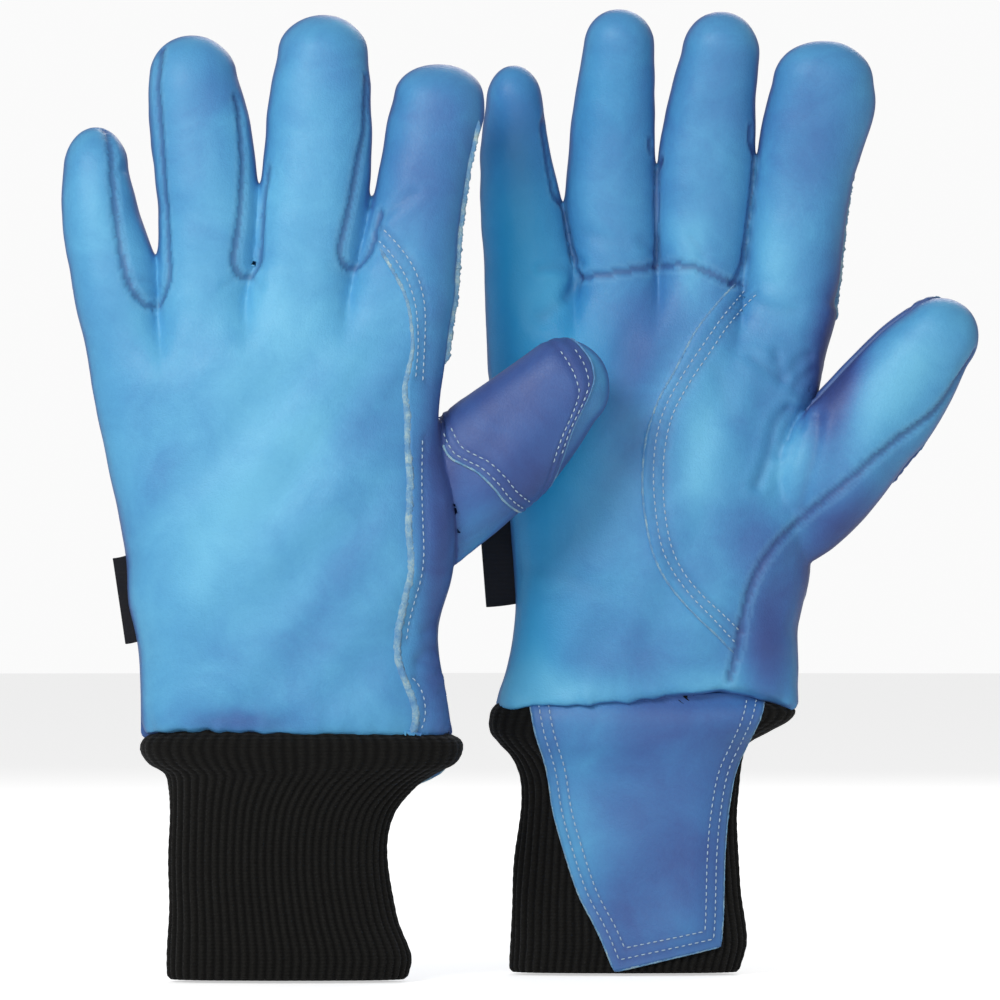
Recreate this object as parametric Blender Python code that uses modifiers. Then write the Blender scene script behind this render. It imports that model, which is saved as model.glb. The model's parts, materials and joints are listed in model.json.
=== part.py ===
"""A pair of insulated cryogenic gloves, standing side by side on their knit cuffs with the fingers up.

Each glove is cut and sewn from leather panels over a fleece liner, with a ribbed knit cuff, a leather
patch over the pulse and a woven tab in the outer seam. The left glove shows its back to -Y, the right
glove its palm. The four fingers flex on a hinge along their base crease, the thumb swings in the plane
of the hand, the tabs flap, and the left glove slides clear of the right one.

A glove is described in its own frame, in millimetres: x towards the thumb from the cuff's middle,
z up from the cuff's rim, and depth towards the palm from the hand's middle plane.
"""

import math

import bmesh
import bpy
from mathutils import Vector

MM = 0.001

# Stock: wall thicknesses and the gap left where two pieces lie against each other.
LEATHER = 1.4
KNIT = 3.0
FINGER_LINER = 3.8
HAND_LINER = 3.5
TAB_THICKNESS = 0.9
GAP = 0.4
OVERLAY_LIFT = 1.3
THUMB_HOLE_CLEARANCE = 1.5
SIDE_SEAM = 0.8

# Shared shape of both gloves.
SECTION_POWER = 2.5
HAND_POWER = 2.7
WEB_SHARE = 0.62
THUMB_DISC = 21.0
THUMB_DEPTH = 8.0
THUMB_HALF = 14.5
THUMB_SWING_IN_DEG = 8.0
THUMB_TAPER = 0.9
FINGER_TAPER = 0.86
CURL = 7.0
HEM_HALF = 20.0
PALM_HALF = 22.0
KNUCKLE_HALF = 16.0

# Where both gloves stand, before the pair is centred on the origin.
GLOVE_SPACING = 114.0
GLOVE_DEPTH_STEP = 53.0

FINGERS = ("little", "ring", "middle", "index")
FINGER_HALF = {"little": 12.5, "ring": 13.8, "middle": 14.4, "index": 14.2}

# Per glove: the five corners of the knuckle line (x, z), each digit's tip, its width at 45% and 80% of
# its length, the length of its rounded end and its sideways bow, and the outline of hand and cuff.
GLOVES = {
    "left": {
        "palm_side": 1.0,
        "corners": [(-71.0, 229.0), (-44.0, 229.5), (-13.5, 239.0), (21.5, 241.5), (57.5, 235.5)],
        "tips": {"little": (-66.0, 287.0), "ring": (-33.5, 319.0),
                 "middle": (12.5, 325.0), "index": (53.5, 309.0)},
        "widths": {"little": (26.5, 21.0), "ring": (33.5, 30.0),
                   "middle": (35.5, 31.5), "index": (33.5, 31.5)},
        "ends": {"little": 10.0, "ring": 13.0, "middle": 13.0, "index": 14.0},
        "bows": {"little": -2.0, "ring": 2.4, "middle": 2.0, "index": 1.0},
        "thumb_hinge": (57.4, 169.6),
        "thumb_tip": (105.5, 206.5),
        "thumb_widths": (36.5, 31.0),
        "thumb_end": 13.0,
        "hem": 82.5,
        "outer_edge": [(82.5, -51.0), (108.0, -49.5), (128.0, -51.5),
                       (157.0, -57.0), (186.0, -63.0), (229.0, -71.0)],
        "thumb_edge": [(82.5, 56.0), (104.0, 51.0), (128.0, 53.5),
                       (160.0, 54.0), (189.0, 44.5), (235.5, 57.5)],
        "cuff": [(0.0, -41.5, 39.5, 14.0), (2.5, -41.5, 39.5, 14.0), (9.0, -41.5, 40.5, 14.0),
                 (22.0, -41.0, 35.5, 13.0), (43.0, -41.0, 32.5, 13.0), (57.0, -40.5, 35.5, 14.0),
                 (68.0, -41.0, 46.0, 17.0), (74.0, -48.5, 57.0, 20.0), (81.0, -50.5, 58.0, 20.0)],
        "tab": {"top": 144.0, "length": 29.0, "reach": 6.5},
    },
    "right": {
        "palm_side": -1.0,
        "corners": [(-48.0, 239.0), (-18.0, 241.5), (10.0, 243.5), (39.0, 236.5), (71.5, 227.5)],
        "tips": {"little": (-37.5, 310.0), "ring": (-2.5, 330.0),
                 "middle": (33.5, 328.0), "index": (69.0, 318.0)},
        "widths": {"little": (26.0, 19.5), "ring": (28.5, 25.5),
                   "middle": (32.0, 27.0), "index": (32.5, 36.0)},
        "ends": {"little": 9.0, "ring": 12.0, "middle": 12.0, "index": 15.0},
        "bows": {"little": -2.0, "ring": -2.1, "middle": -1.7, "index": -1.4},
        "thumb_hinge": (67.7, 173.4),
        "thumb_tip": (115.5, 224.5),
        "thumb_widths": (37.5, 34.0),
        "thumb_end": 14.0,
        "hem": 92.0,
        "outer_edge": [(92.0, -45.5), (105.0, -42.0), (125.0, -38.0),
                       (150.0, -40.0), (190.0, -45.0), (239.0, -48.0)],
        "thumb_edge": [(92.0, 58.0), (112.0, 57.5), (135.0, 62.0),
                       (166.0, 62.0), (196.0, 57.5), (227.5, 71.5)],
        "cuff": [(0.0, -40.0, 39.0, 14.0), (2.5, -40.0, 39.0, 14.0), (12.0, -39.5, 41.0, 14.0),
                 (30.0, -38.8, 38.8, 13.0), (52.0, -36.5, 37.5, 13.0), (66.0, -36.0, 38.0, 14.0),
                 (77.0, -40.0, 41.0, 17.0), (84.0, -46.0, 50.0, 20.0), (90.5, -46.0, 57.5, 20.0)],
        "tab": {"top": 160.0, "length": 33.0, "reach": 10.0},
    },
}

# Share of the hand's width where the raw-edged seams run, from the hem (0) to the knuckles (1).
BACK_SEAM = [(0.0, 0.86), (0.2, 0.84), (0.45, 0.88), (0.66, 0.84), (0.85, 0.84), (1.0, 0.74)]
PALM_SEAM = [(0.12, 0.76), (0.25, 0.64), (0.42, 0.50), (0.60, 0.49), (0.80, 0.58), (1.0, 0.74)]
WING_OUTER_SHARE = 0.945
PALM_WING_BOTTOM = 0.12
WING_TOP = 0.985
# The pulse patch's two edges as (height share up the cuff, x).
PATCH_OUTER = [(0.04, -6.0), (0.3, -16.0), (0.55, -24.0), (0.8, -29.0), (1.0, -33.0)]
PATCH_INNER = [(0.04, 31.0), (0.3, 32.0), (0.55, 34.0), (0.8, 34.0), (1.0, 44.0)]

# Where the seams run round a finger, in degrees from the middle of its back towards the thumb side.
SEAM_DEG = 50.0
SEAM_GAP_DEG = 5.0
FACET_DEG = 18.0
SIDE_SEAM_DEG = 88.5
THUMB_PATCH_DEG = 62.0

# Rows of each tube: shares along a digit's straight part, of a hand panel and of the hand's liner.
DIGIT_ROWS = (0.0, 0.2, 0.45, 0.72)
DIGIT_LINER_ROWS = (0.0, 0.3, 0.65, 1.0)
TIP_TURNS_DEG = (30, 60, 90)
PANEL_ROWS = (0.0, 0.12, 0.25, 0.38, 0.51, 0.64, 0.78, 0.9, 1.0)
HAND_LINER_ROWS = (0.015, 0.25, 0.5, 0.78, 0.9, 0.99)
PATCH_ROWS = (0.04, 0.2, 0.38, 0.56, 0.7, 0.8, 0.88, 0.985)
# Half depth of the hand by height share, before the knuckles take the fingers' own depth.
BELLY = [(0.0, HEM_HALF), (0.45, PALM_HALF), (0.8, 19.0), (1.0, KNUCKLE_HALF)]
KNUCKLE_BLEND = (0.78, 1.0)
# The swing cutter is a little shallower than the hole's, so that no two cutter faces share a plane.
SWING_CUTTER_DEPTH = 0.97
CUFF_FACETS = 24

COLOURS = {
    "blue_leather": ((0.10, 0.36, 0.66, 1.0), 0.5),
    "fleece": ((0.80, 0.80, 0.76, 1.0), 0.95),
    "black_knit": ((0.012, 0.011, 0.010, 1.0), 0.95),
    "black_tab": ((0.010, 0.010, 0.012, 1.0), 0.8),
}


def material(name):
    """The Principled material of that name, made once."""
    found = bpy.data.materials.get(name)
    if found:
        return found
    made = bpy.data.materials.new(name)
    made.use_nodes = True
    shader = made.node_tree.nodes["Principled BSDF"]
    colour, roughness = COLOURS[name]
    shader.inputs["Base Color"].default_value = colour
    shader.inputs["Roughness"].default_value = roughness
    shader.inputs["Metallic"].default_value = 0.0
    made.diffuse_color = colour
    return made


def smoothstep(low, high, value):
    share = min(1.0, max(0.0, (value - low) / (high - low)))
    return share * share * (3.0 - 2.0 * share)


def along(points, position):
    """Smooth value through (position, value) points: a cubic, each slope from the neighbouring points."""
    if position <= points[0][0]:
        return points[0][1]
    for k in range(len(points) - 1):
        (p0, v0), (p1, v1) = points[k], points[k + 1]
        if position > p1:
            continue
        before = points[max(k - 1, 0)]
        after = points[min(k + 2, len(points) - 1)]
        slope0 = (v1 - before[1]) / (p1 - before[0])
        slope1 = (after[1] - v0) / (after[0] - p0)
        step = p1 - p0
        share = (position - p0) / step
        return ((1 + 2 * share) * (1 - share) ** 2 * v0 + share * (1 - share) ** 2 * step * slope0
                + share ** 2 * (3 - 2 * share) * v1 + share ** 2 * (share - 1) * step * slope1)
    return points[-1][1]


def power_curve(value, power):
    """sin or cos of a rounded-box section: value to 2/power, with its sign."""
    return math.copysign(abs(value) ** (2.0 / power), value)


# Shells: an open surface over a grid of points, thickened by Solidify.

def shell(name, points, keep, ring, facing):
    """Open surface over the kept cells of a grid of points. A ring's last column joins its first.

    Facing is the side of the middle plane, along Y, that the grid's first columns look towards.
    """
    rows, columns = len(points), len(points[0])
    mesh = bmesh.new()
    corners = [[mesh.verts.new(point) for point in row] for row in points]
    for i in range(rows - 1):
        for j in range(columns if ring else columns - 1):
            if keep(i, j):
                k = (j + 1) % columns
                mesh.faces.new([corners[i][j], corners[i][k], corners[i + 1][k], corners[i + 1][j]])
    bmesh.ops.delete(mesh, geom=[v for v in mesh.verts if not v.link_faces], context="VERTS")
    bmesh.ops.remove_doubles(mesh, verts=mesh.verts, dist=1e-4)
    if facing > 0:
        bmesh.ops.reverse_faces(mesh, faces=mesh.faces)
    data = bpy.data.meshes.new(name)
    mesh.to_mesh(data)
    mesh.free()
    return data


def place(data, finish, thickness, origin, parent, collection, lift=0.0):
    """Object from an open surface in glove millimetres, thickened inward, or outward where it is lifted."""
    for v in data.vertices:
        v.co = (v.co - origin) * MM
    data.materials.append(material(finish))
    data.shade_smooth()
    data.set_sharp_from_angle(angle=math.radians(40))
    made = bpy.data.objects.new(data.name, data)
    collection.objects.link(made)
    made.parent = parent
    if lift:
        raised = made.modifiers.new("lift", "DISPLACE")
        raised.mid_level = 0.0
        raised.strength = lift * MM
    wall = made.modifiers.new("wall", "SOLIDIFY")
    wall.thickness = thickness * MM
    wall.offset = 1.0 if lift else -1.0
    wall.use_even_offset = True
    wall.use_quality_normals = True
    return made


def hinge_empty(name, point, parent, collection):
    """Empty on a joint's axis, at a point given in glove millimetres."""
    made = bpy.data.objects.new(name, None)
    made.empty_display_size = 0.01
    made.location = point * MM
    made.parent = parent
    collection.objects.link(made)
    return made


# Digits.

class Digit:
    """A finger or thumb: a tube of rounded-box sections along a slightly bowed line, with a round end."""

    def __init__(self, glove, base, tip, across, widths, end, bow, half_base, half_tip, depth, curl):
        self.palm = glove["palm_side"]
        self.base, self.tip = Vector(base), Vector(tip)
        line = self.tip - self.base
        self.length = line.length
        self.axis = line.normalized()
        self.side = Vector((self.axis.y, -self.axis.x))
        self.across = Vector(across).normalized()
        self.profile = [(0.0, widths[0])] + [(0.45, widths[1]), (0.80, widths[2])]
        self.end, self.bow = end, bow
        self.half_base, self.half_tip = half_base, half_tip
        self.depth, self.curl = depth, curl
        self.disc = 0.0

    def point(self, s, degrees, inset, scale=1.0):
        """Point of the section at distance s, at an angle from the back, in from the surface by inset."""
        share = min(1.0, max(0.0, s / self.length))
        turn = smoothstep(0.0, 0.4, share)
        direction = (self.across * (1 - turn) + self.side * turn).normalized()
        centre = self.base + self.axis * s + self.side * (4 * self.bow * share * (1 - share))
        half_width = (along(self.profile, share) / 2 - inset) * scale
        half_depth = (self.half_base + (self.half_tip - self.half_base) * share - inset) * scale
        angle = math.radians(degrees)
        x = half_width * power_curve(math.sin(angle), SECTION_POWER)
        if self.disc and s < self.disc / 2:
            arc = -math.sqrt(max(0.0, self.disc ** 2 - x * x))
            s = arc + (s + self.disc) / (1.5 * self.disc) * (self.disc / 2 - arc)
            centre = self.base + self.axis * s
        depth = (self.depth - half_depth * power_curve(math.cos(angle), SECTION_POWER)
                 + self.curl * share * share)
        flat = centre + direction * x
        return Vector((flat.x, self.palm * depth, flat.y))

    def grid(self, stations, angles, inset, start):
        """Rows of points: straight stations as shares of the barrel's length, then the round end."""
        barrel = self.length - self.end
        rows = [[self.point(start + (barrel - start) * s, a, inset) for a in angles] for s in stations]
        for turn in TIP_TURNS_DEG:
            reach = barrel + (self.end - inset) * math.sin(math.radians(turn))
            scale = max(1e-6, math.cos(math.radians(turn)))
            rows.append([self.point(reach, a, inset, scale) for a in angles])
        return rows


def fan(low, high, steps):
    return [low + (high - low) * k / steps for k in range(steps + 1)]


def digit_angles(thumb_side_wall, outer_side_wall):
    """Angles round a digit and the column ranges of its strips: back, thumb-side wall, palm, outer wall."""
    right_back = SEAM_DEG if thumb_side_wall else SIDE_SEAM_DEG
    left_back = SEAM_DEG if outer_side_wall else SIDE_SEAM_DEG
    spans = {"back": (-left_back, right_back), "thumb_side": (right_back, 180 - right_back),
             "palm": (180 - right_back, 180 + left_back), "outer_side": (180 + left_back, 360 - left_back)}
    if not thumb_side_wall:
        del spans["thumb_side"]
    if not outer_side_wall:
        del spans["outer_side"]
    angles, strips = [], {}
    for strip, (low, high) in spans.items():
        steps = round((high - low) / FACET_DEG)
        strips[strip] = range(len(angles), len(angles) + steps)
        angles += fan(low + SEAM_GAP_DEG / 2, high - SEAM_GAP_DEG / 2, steps)
    return angles, strips


def build_digit(prefix, digit, walls, hinge, parent, collection, start):
    """The leather strips and the liner of one digit. Its back strip carries the round end."""
    angles, strips = digit_angles(*walls)
    barrel = digit.length - digit.end
    seam = 2 * GAP / barrel
    stations = [*DIGIT_ROWS, 1.0 - seam, 1.0]
    strip_rows = len(stations) - 2
    points = digit.grid(stations, angles, 0.0, start)

    def keep_back(i, j):
        return i > strip_rows or j in strips["back"]

    names = {"back": "back", "palm": "palm",
             "thumb_side": "wall_thumb_side", "outer_side": "wall_outer_side"}
    for strip, columns in strips.items():
        keep = keep_back if strip == "back" else (lambda i, j, c=columns: i < strip_rows and j in c)
        data = shell(f"{prefix}_{names[strip]}", points, keep, True, -digit.palm)
        place(data, "blue_leather", LEATHER, hinge, parent, collection)
    liner_angles = fan(0.0, 330.0, 11)
    points = digit.grid(DIGIT_LINER_ROWS, liner_angles, LEATHER + 2 * GAP, start)
    data = shell(f"{prefix}_liner", points, lambda i, j: True, True, -digit.palm)
    place(data, "fleece", FINGER_LINER, hinge, parent, collection)


def build_finger(side, glove, name, root, collection):
    k = FINGERS.index(name)
    a, b = Vector(glove["corners"][k]), Vector(glove["corners"][k + 1])
    half = FINGER_HALF[name]
    base = (a + b) / 2
    across = b - a
    width = across.length - 2 * GAP
    digit = Digit(glove, base, glove["tips"][name], across, (width, *glove["widths"][name]),
                  glove["ends"][name], glove["bows"][name], half, FINGER_TAPER * half, 0.0, CURL)
    hinge = Vector((base.x, glove["palm_side"] * half, base.y))
    empty = hinge_empty(f"{side}_{name}_hinge", hinge, root, collection)
    walls = (name != "index", name != "little")
    build_digit(f"{side}_{name}", digit, walls, hinge, empty, collection, GAP)


def build_thumb(side, glove, root, collection):
    base, tip = Vector(glove["thumb_hinge"]), Vector(glove["thumb_tip"])
    axis = (tip - base).normalized()
    across = (axis.y, -axis.x)
    digit = Digit(glove, base, tip, across, (2 * THUMB_DISC, *glove["thumb_widths"]), glove["thumb_end"],
                  0.0, THUMB_HALF, THUMB_TAPER * THUMB_HALF, THUMB_DEPTH, 0.0)
    digit.disc = THUMB_DISC
    hinge = Vector((base.x, 0.0, base.y))
    empty = hinge_empty(f"{side}_thumb_hinge", hinge, root, collection)
    build_digit(f"{side}_thumb", digit, (False, False), hinge, empty, collection, -THUMB_DISC)
    angles = fan(-THUMB_PATCH_DEG, THUMB_PATCH_DEG, 6)
    low, high = 0.5 * THUMB_DISC, digit.length - digit.end
    stations = fan(low, high, 4)
    points = [[digit.point(s, a, 0.0) for a in angles] for s in stations]
    data = shell(f"{side}_thumb_patch", points, lambda i, j: True, False, -digit.palm)
    place(data, "blue_leather", LEATHER, hinge, empty, collection, lift=OVERLAY_LIFT)


# Hand.

def knuckle_shares(glove):
    xs = [c[0] for c in glove["corners"]]
    return [(x - xs[0]) / (xs[-1] - xs[0]) for x in xs]


def hand_point(glove, rise, share, side, inset):
    """Point of the hand: rise from hem (0) to knuckles (1), share across, side 1 palm or -1 back."""
    shares = knuckle_shares(glove)
    k = min(3, max(i for i in range(4) if share >= shares[i] - 1e-9))
    local = (share - shares[k]) / (shares[k + 1] - shares[k])
    (_, z_a), (_, z_b) = glove["corners"][k], glove["corners"][k + 1]
    top = z_a + (z_b - z_a) * local - GAP
    z = glove["hem"] + (top - glove["hem"]) * rise
    left, right = along(glove["outer_edge"], z), along(glove["thumb_edge"], z)
    middle, half_width = (left + right) / 2, (right - left) / 2
    q = 2 * share - 1
    x = middle + q * (half_width - inset)
    edge = max(0.0, 1 - abs(q) ** HAND_POWER) ** (1 / HAND_POWER)
    belly = along(BELLY, rise)
    name = FINGERS[k]
    p = 2 * local - 1
    lobe = max(0.0, 1 - abs(p) ** SECTION_POWER) ** (1 / SECTION_POWER)
    open_side = (k == 0 and p < 0) or (k == 3 and p > 0)
    if not open_side:
        lobe = max(lobe, WEB_SHARE)
    blend = smoothstep(*KNUCKLE_BLEND, rise)
    half = belly * edge * (1 - blend) + FINGER_HALF[name] * lobe * blend
    half = max(SIDE_SEAM, half - inset)
    return Vector((x, glove["palm_side"] * side * half, z))


def hand_columns(glove):
    """Shares across the hand, with each finger's width split so that its rounding shows."""
    shares = knuckle_shares(glove)
    columns = [0.0]
    for k in range(4):
        for turn in (30, 60, 90, 120, 150, 180):
            local = (1 - math.cos(math.radians(turn))) / 2
            columns.append(shares[k] + (shares[k + 1] - shares[k]) * local)
    return columns


def build_panel(name, glove, side, columns, rises, root, collection, lift=0.0):
    """A leather panel of the hand on one side, or one laid over it where it has a lift."""
    points = [[hand_point(glove, r, c, side, 0.0) for c in columns(r)] for r in rises]
    data = shell(name, points, lambda i, j: True, False, glove["palm_side"] * side)
    return place(data, "blue_leather", LEATHER, Vector(), root, collection, lift)


def build_hand_liner(side, glove, root, collection):
    """The hand's fleece tube, open at the hem and towards each finger."""
    ends = knuckle_shares(glove)
    shares = [(a + b) / 2 for a, b in zip(ends, ends[1:])] + ends[1:-1]
    shares.sort()

    def ring(rise):
        skin = LEATHER + 5 * GAP
        back = [hand_point(glove, rise, c, -1, skin) for c in shares]
        palm = [hand_point(glove, rise, c, 1, skin) for c in reversed(shares)]
        edges = [hand_point(glove, rise, c, -1, skin + GAP) for c in (0.0, 1.0)]
        for edge in edges:
            edge.y = 0.0
        return [edges[0], *back, edges[1], *palm]

    points = [ring(r) for r in HAND_LINER_ROWS]
    data = shell(f"{side}_hand_liner", points, lambda i, j: True, True, -glove["palm_side"])
    return place(data, "fleece", HAND_LINER, Vector(), root, collection)


def cut_thumb_hole(side, glove, pieces, root, cutters):
    """Opening in the hand's thumb side: a round hole for the thumb's base, and room for it to swing in."""
    x, z = glove["thumb_hinge"]
    tip_x, tip_z = glove["thumb_tip"]
    lean = math.atan2(tip_z - z, tip_x - x) + math.radians(THUMB_SWING_IN_DEG)
    radius = THUMB_DISC + THUMB_HOLE_CLEARANCE
    depth = 2 * PALM_HALF
    bpy.ops.mesh.primitive_cylinder_add(vertices=40, radius=radius * MM, depth=depth * MM)
    hole = bpy.context.active_object
    hole.name = f"{side}_thumb_hole_cutter"
    hole.rotation_euler = (math.pi / 2, 0.0, 0.0)
    bpy.ops.mesh.primitive_cube_add(size=2 * radius * MM)
    swing = bpy.context.active_object
    swing.name = f"{side}_thumb_swing_cutter"
    for corner in swing.data.vertices:
        corner.co.x += radius * MM
        corner.co.y *= SWING_CUTTER_DEPTH * depth / (2 * radius)
        corner.co.z *= 1.0 - THUMB_HOLE_CLEARANCE / (2 * radius)
    swing.rotation_euler = (0.0, -lean, 0.0)
    reach_back = THUMB_DEPTH - THUMB_HALF - THUMB_HOLE_CLEARANCE
    for cutter in (hole, swing):
        cutter.location = Vector((x, glove["palm_side"] * (reach_back + depth / 2), z)) * MM
        cutter.parent = root
        cutter.hide_render = True
        cutter.display_type = "WIRE"
        for used in cutter.users_collection:
            used.objects.unlink(cutter)
        cutters.objects.link(cutter)
        for piece in pieces:
            cut = piece.modifiers.new("thumb_opening", "BOOLEAN")
            cut.operation = "DIFFERENCE"
            cut.object = cutter


def build_hand(side, glove, root, collection, cutters):
    columns = hand_columns(glove)
    back = build_panel(f"{side}_back_panel", glove, -1, lambda r: columns, PANEL_ROWS, root, collection)
    palm = build_panel(f"{side}_palm_panel", glove, 1, lambda r: columns, PANEL_ROWS, root, collection)

    def wing_columns(seam):
        return lambda r: fan(along(seam, r), WING_OUTER_SHARE, 9)

    low = [r for r in PANEL_ROWS[:-1] if r >= PALM_WING_BOTTOM]
    build_panel(f"{side}_back_wing", glove, -1, wing_columns(BACK_SEAM), [*PANEL_ROWS[:-1], WING_TOP],
                root, collection, OVERLAY_LIFT)
    wing = build_panel(f"{side}_palm_wing", glove, 1, wing_columns(PALM_SEAM), [*low, WING_TOP],
                       root, collection, OVERLAY_LIFT)
    liner = build_hand_liner(side, glove, root, collection)
    cut_thumb_hole(side, glove, (back, palm, wing, liner), root, cutters)


# Cuff, pulse patch and tab.

def cuff_point(glove, z, degrees):
    rows = glove["cuff"]
    outer = along([(r[0], r[1]) for r in rows], z)
    thumb = along([(r[0], r[2]) for r in rows], z)
    half_depth = along([(r[0], r[3]) for r in rows], z)
    middle, half_width = (outer + thumb) / 2, (thumb - outer) / 2
    angle = math.radians(degrees)
    x = middle + half_width * power_curve(math.sin(angle), SECTION_POWER)
    return Vector((x, -glove["palm_side"] * half_depth * power_curve(math.cos(angle), SECTION_POWER), z))


def build_cuff(side, glove, root, collection):
    """The ribbed knit tube, rolled outward under the leather hem and flat at its rim."""
    angles = [360.0 * k / CUFF_FACETS for k in range(CUFF_FACETS)]
    heights = [row[0] for row in glove["cuff"]]
    points = [[cuff_point(glove, z, a) for a in angles] for z in heights]
    data = shell(f"{side}_knit_cuff", points, lambda i, j: True, True, -glove["palm_side"])
    place(data, "black_knit", KNIT, Vector(), root, collection)


def angle_at(glove, z, x):
    """Angle on the palm side of the cuff at height z where its outline passes x."""
    rows = glove["cuff"]
    outer = along([(r[0], r[1]) for r in rows], z)
    thumb = along([(r[0], r[2]) for r in rows], z)
    share = (x - (outer + thumb) / 2) / ((thumb - outer) / 2)
    share = max(-0.93, min(0.93, share))
    return 180.0 - math.degrees(math.asin(math.copysign(abs(share) ** (SECTION_POWER / 2), share)))


def build_pulse_patch(side, glove, root, collection):
    """Leather patch over the inside of the wrist, tapering down the cuff's palm side."""
    top = glove["cuff"][-1][0]
    points = []
    for share in PATCH_ROWS:
        z = share * top
        low = angle_at(glove, z, along(PATCH_INNER, share))
        high = angle_at(glove, z, along(PATCH_OUTER, share))
        points.append([cuff_point(glove, z, a) for a in fan(low, high, 9)])
    data = shell(f"{side}_pulse_patch", points, lambda i, j: True, False, -glove["palm_side"])
    place(data, "blue_leather", LEATHER, Vector(), root, collection, lift=OVERLAY_LIFT)


def build_tab(side, glove, root, collection):
    """Woven tab held in the outer seam; it flaps about the seam."""
    tab = glove["tab"]
    z_top, z_low = tab["top"], tab["top"] - tab["length"]
    upper = Vector((along(glove["outer_edge"], z_top) - 1.5 * GAP, 0.0, z_top))
    lower = Vector((along(glove["outer_edge"], z_low) - 1.5 * GAP, 0.0, z_low))
    hinge = (upper + lower) / 2
    empty = hinge_empty(f"{side}_tab_hinge", hinge, root, collection)
    bpy.ops.mesh.primitive_cube_add(size=1.0)
    made = bpy.context.active_object
    made.name = f"{side}_tab"
    made.data.name = made.name
    for used in made.users_collection:
        used.objects.unlink(made)
    collection.objects.link(made)
    for v in made.data.vertices:
        along_tab = (v.co.x - 0.5) * tab["reach"]
        v.co = Vector((along_tab, v.co.y * TAB_THICKNESS, v.co.z * tab["length"])) * MM
    made.data.materials.append(material("black_tab"))
    lean = math.atan2(upper.x - lower.x, upper.z - lower.z)
    made.rotation_euler = (0.0, lean, 0.0)
    made.parent = empty


def build_glove(side, root, collection, cutters):
    glove = GLOVES[side]
    build_hand(side, glove, root, collection, cutters)
    build_cuff(side, glove, root, collection)
    build_pulse_patch(side, glove, root, collection)
    build_tab(side, glove, root, collection)
    for name in FINGERS:
        build_finger(side, glove, name, root, collection)
    build_thumb(side, glove, root, collection)


def centre_pair(roots, collection):
    """Moves both gloves so that the pair's box is centred on the origin and stands on z = 0."""
    bpy.context.view_layer.update()
    graph = bpy.context.evaluated_depsgraph_get()
    corners = []
    for piece in collection.objects:
        if piece.type == "MESH":
            evaluated = piece.evaluated_get(graph)
            mesh = evaluated.to_mesh()
            corners += [evaluated.matrix_world @ v.co for v in mesh.vertices]
            evaluated.to_mesh_clear()
    low = Vector([min(c[k] for c in corners) for k in range(3)])
    high = Vector([max(c[k] for c in corners) for k in range(3)])
    shift = Vector((-(low.x + high.x) / 2, -(low.y + high.y) / 2, -low.z))
    for root in roots:
        root.location = root.location + shift


def main():
    for old in list(bpy.data.objects):
        bpy.data.objects.remove(old)
    collection = bpy.data.collections.new("cryogenic_gloves")
    cutters = bpy.data.collections.new("cutters")
    for made in (collection, cutters):
        bpy.context.scene.collection.children.link(made)
    roots = []
    for side, across, depth in (("left", -0.5, -0.5), ("right", 0.5, 0.5)):
        place_at = Vector((across * GLOVE_SPACING, depth * GLOVE_DEPTH_STEP, 0.0))
        root = hinge_empty(f"{side}_glove", place_at, None, collection)
        build_glove(side, root, collection, cutters)
        roots.append(root)
    centre_pair(roots, collection)


main()
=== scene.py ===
import json
import math

import bmesh
import bpy
import numpy as np
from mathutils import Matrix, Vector, noise
from mathutils.bvhtree import BVHTree


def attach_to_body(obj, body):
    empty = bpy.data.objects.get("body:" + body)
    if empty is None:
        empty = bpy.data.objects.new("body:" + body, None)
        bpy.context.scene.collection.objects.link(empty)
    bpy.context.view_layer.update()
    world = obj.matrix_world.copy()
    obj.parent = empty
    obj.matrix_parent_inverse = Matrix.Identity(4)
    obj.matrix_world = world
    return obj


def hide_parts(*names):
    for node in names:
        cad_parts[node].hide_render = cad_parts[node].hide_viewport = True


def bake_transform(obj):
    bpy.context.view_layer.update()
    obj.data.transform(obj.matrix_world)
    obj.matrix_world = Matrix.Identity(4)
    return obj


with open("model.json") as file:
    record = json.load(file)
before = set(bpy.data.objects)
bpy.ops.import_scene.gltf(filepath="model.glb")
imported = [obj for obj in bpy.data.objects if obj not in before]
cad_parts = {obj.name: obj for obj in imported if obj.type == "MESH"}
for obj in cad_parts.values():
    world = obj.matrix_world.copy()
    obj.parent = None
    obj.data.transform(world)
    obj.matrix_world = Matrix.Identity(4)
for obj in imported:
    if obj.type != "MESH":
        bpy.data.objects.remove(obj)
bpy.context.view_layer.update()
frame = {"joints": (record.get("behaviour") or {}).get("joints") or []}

MM = 0.001

# Patterns. A glove is described in its own frame, in millimetres: x towards the thumb, z up from the
# cuff's rim, and depth towards the palm from the hand's middle plane. Faces: BACK and PALM.
BACK, PALM = -1.0, 1.0
FINGERS = ("little", "ring", "middle", "index")
FINGER_HALF = {"little": 12.5, "ring": 13.8, "middle": 14.4, "index": 14.2}
CURL = 7.0

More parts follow.
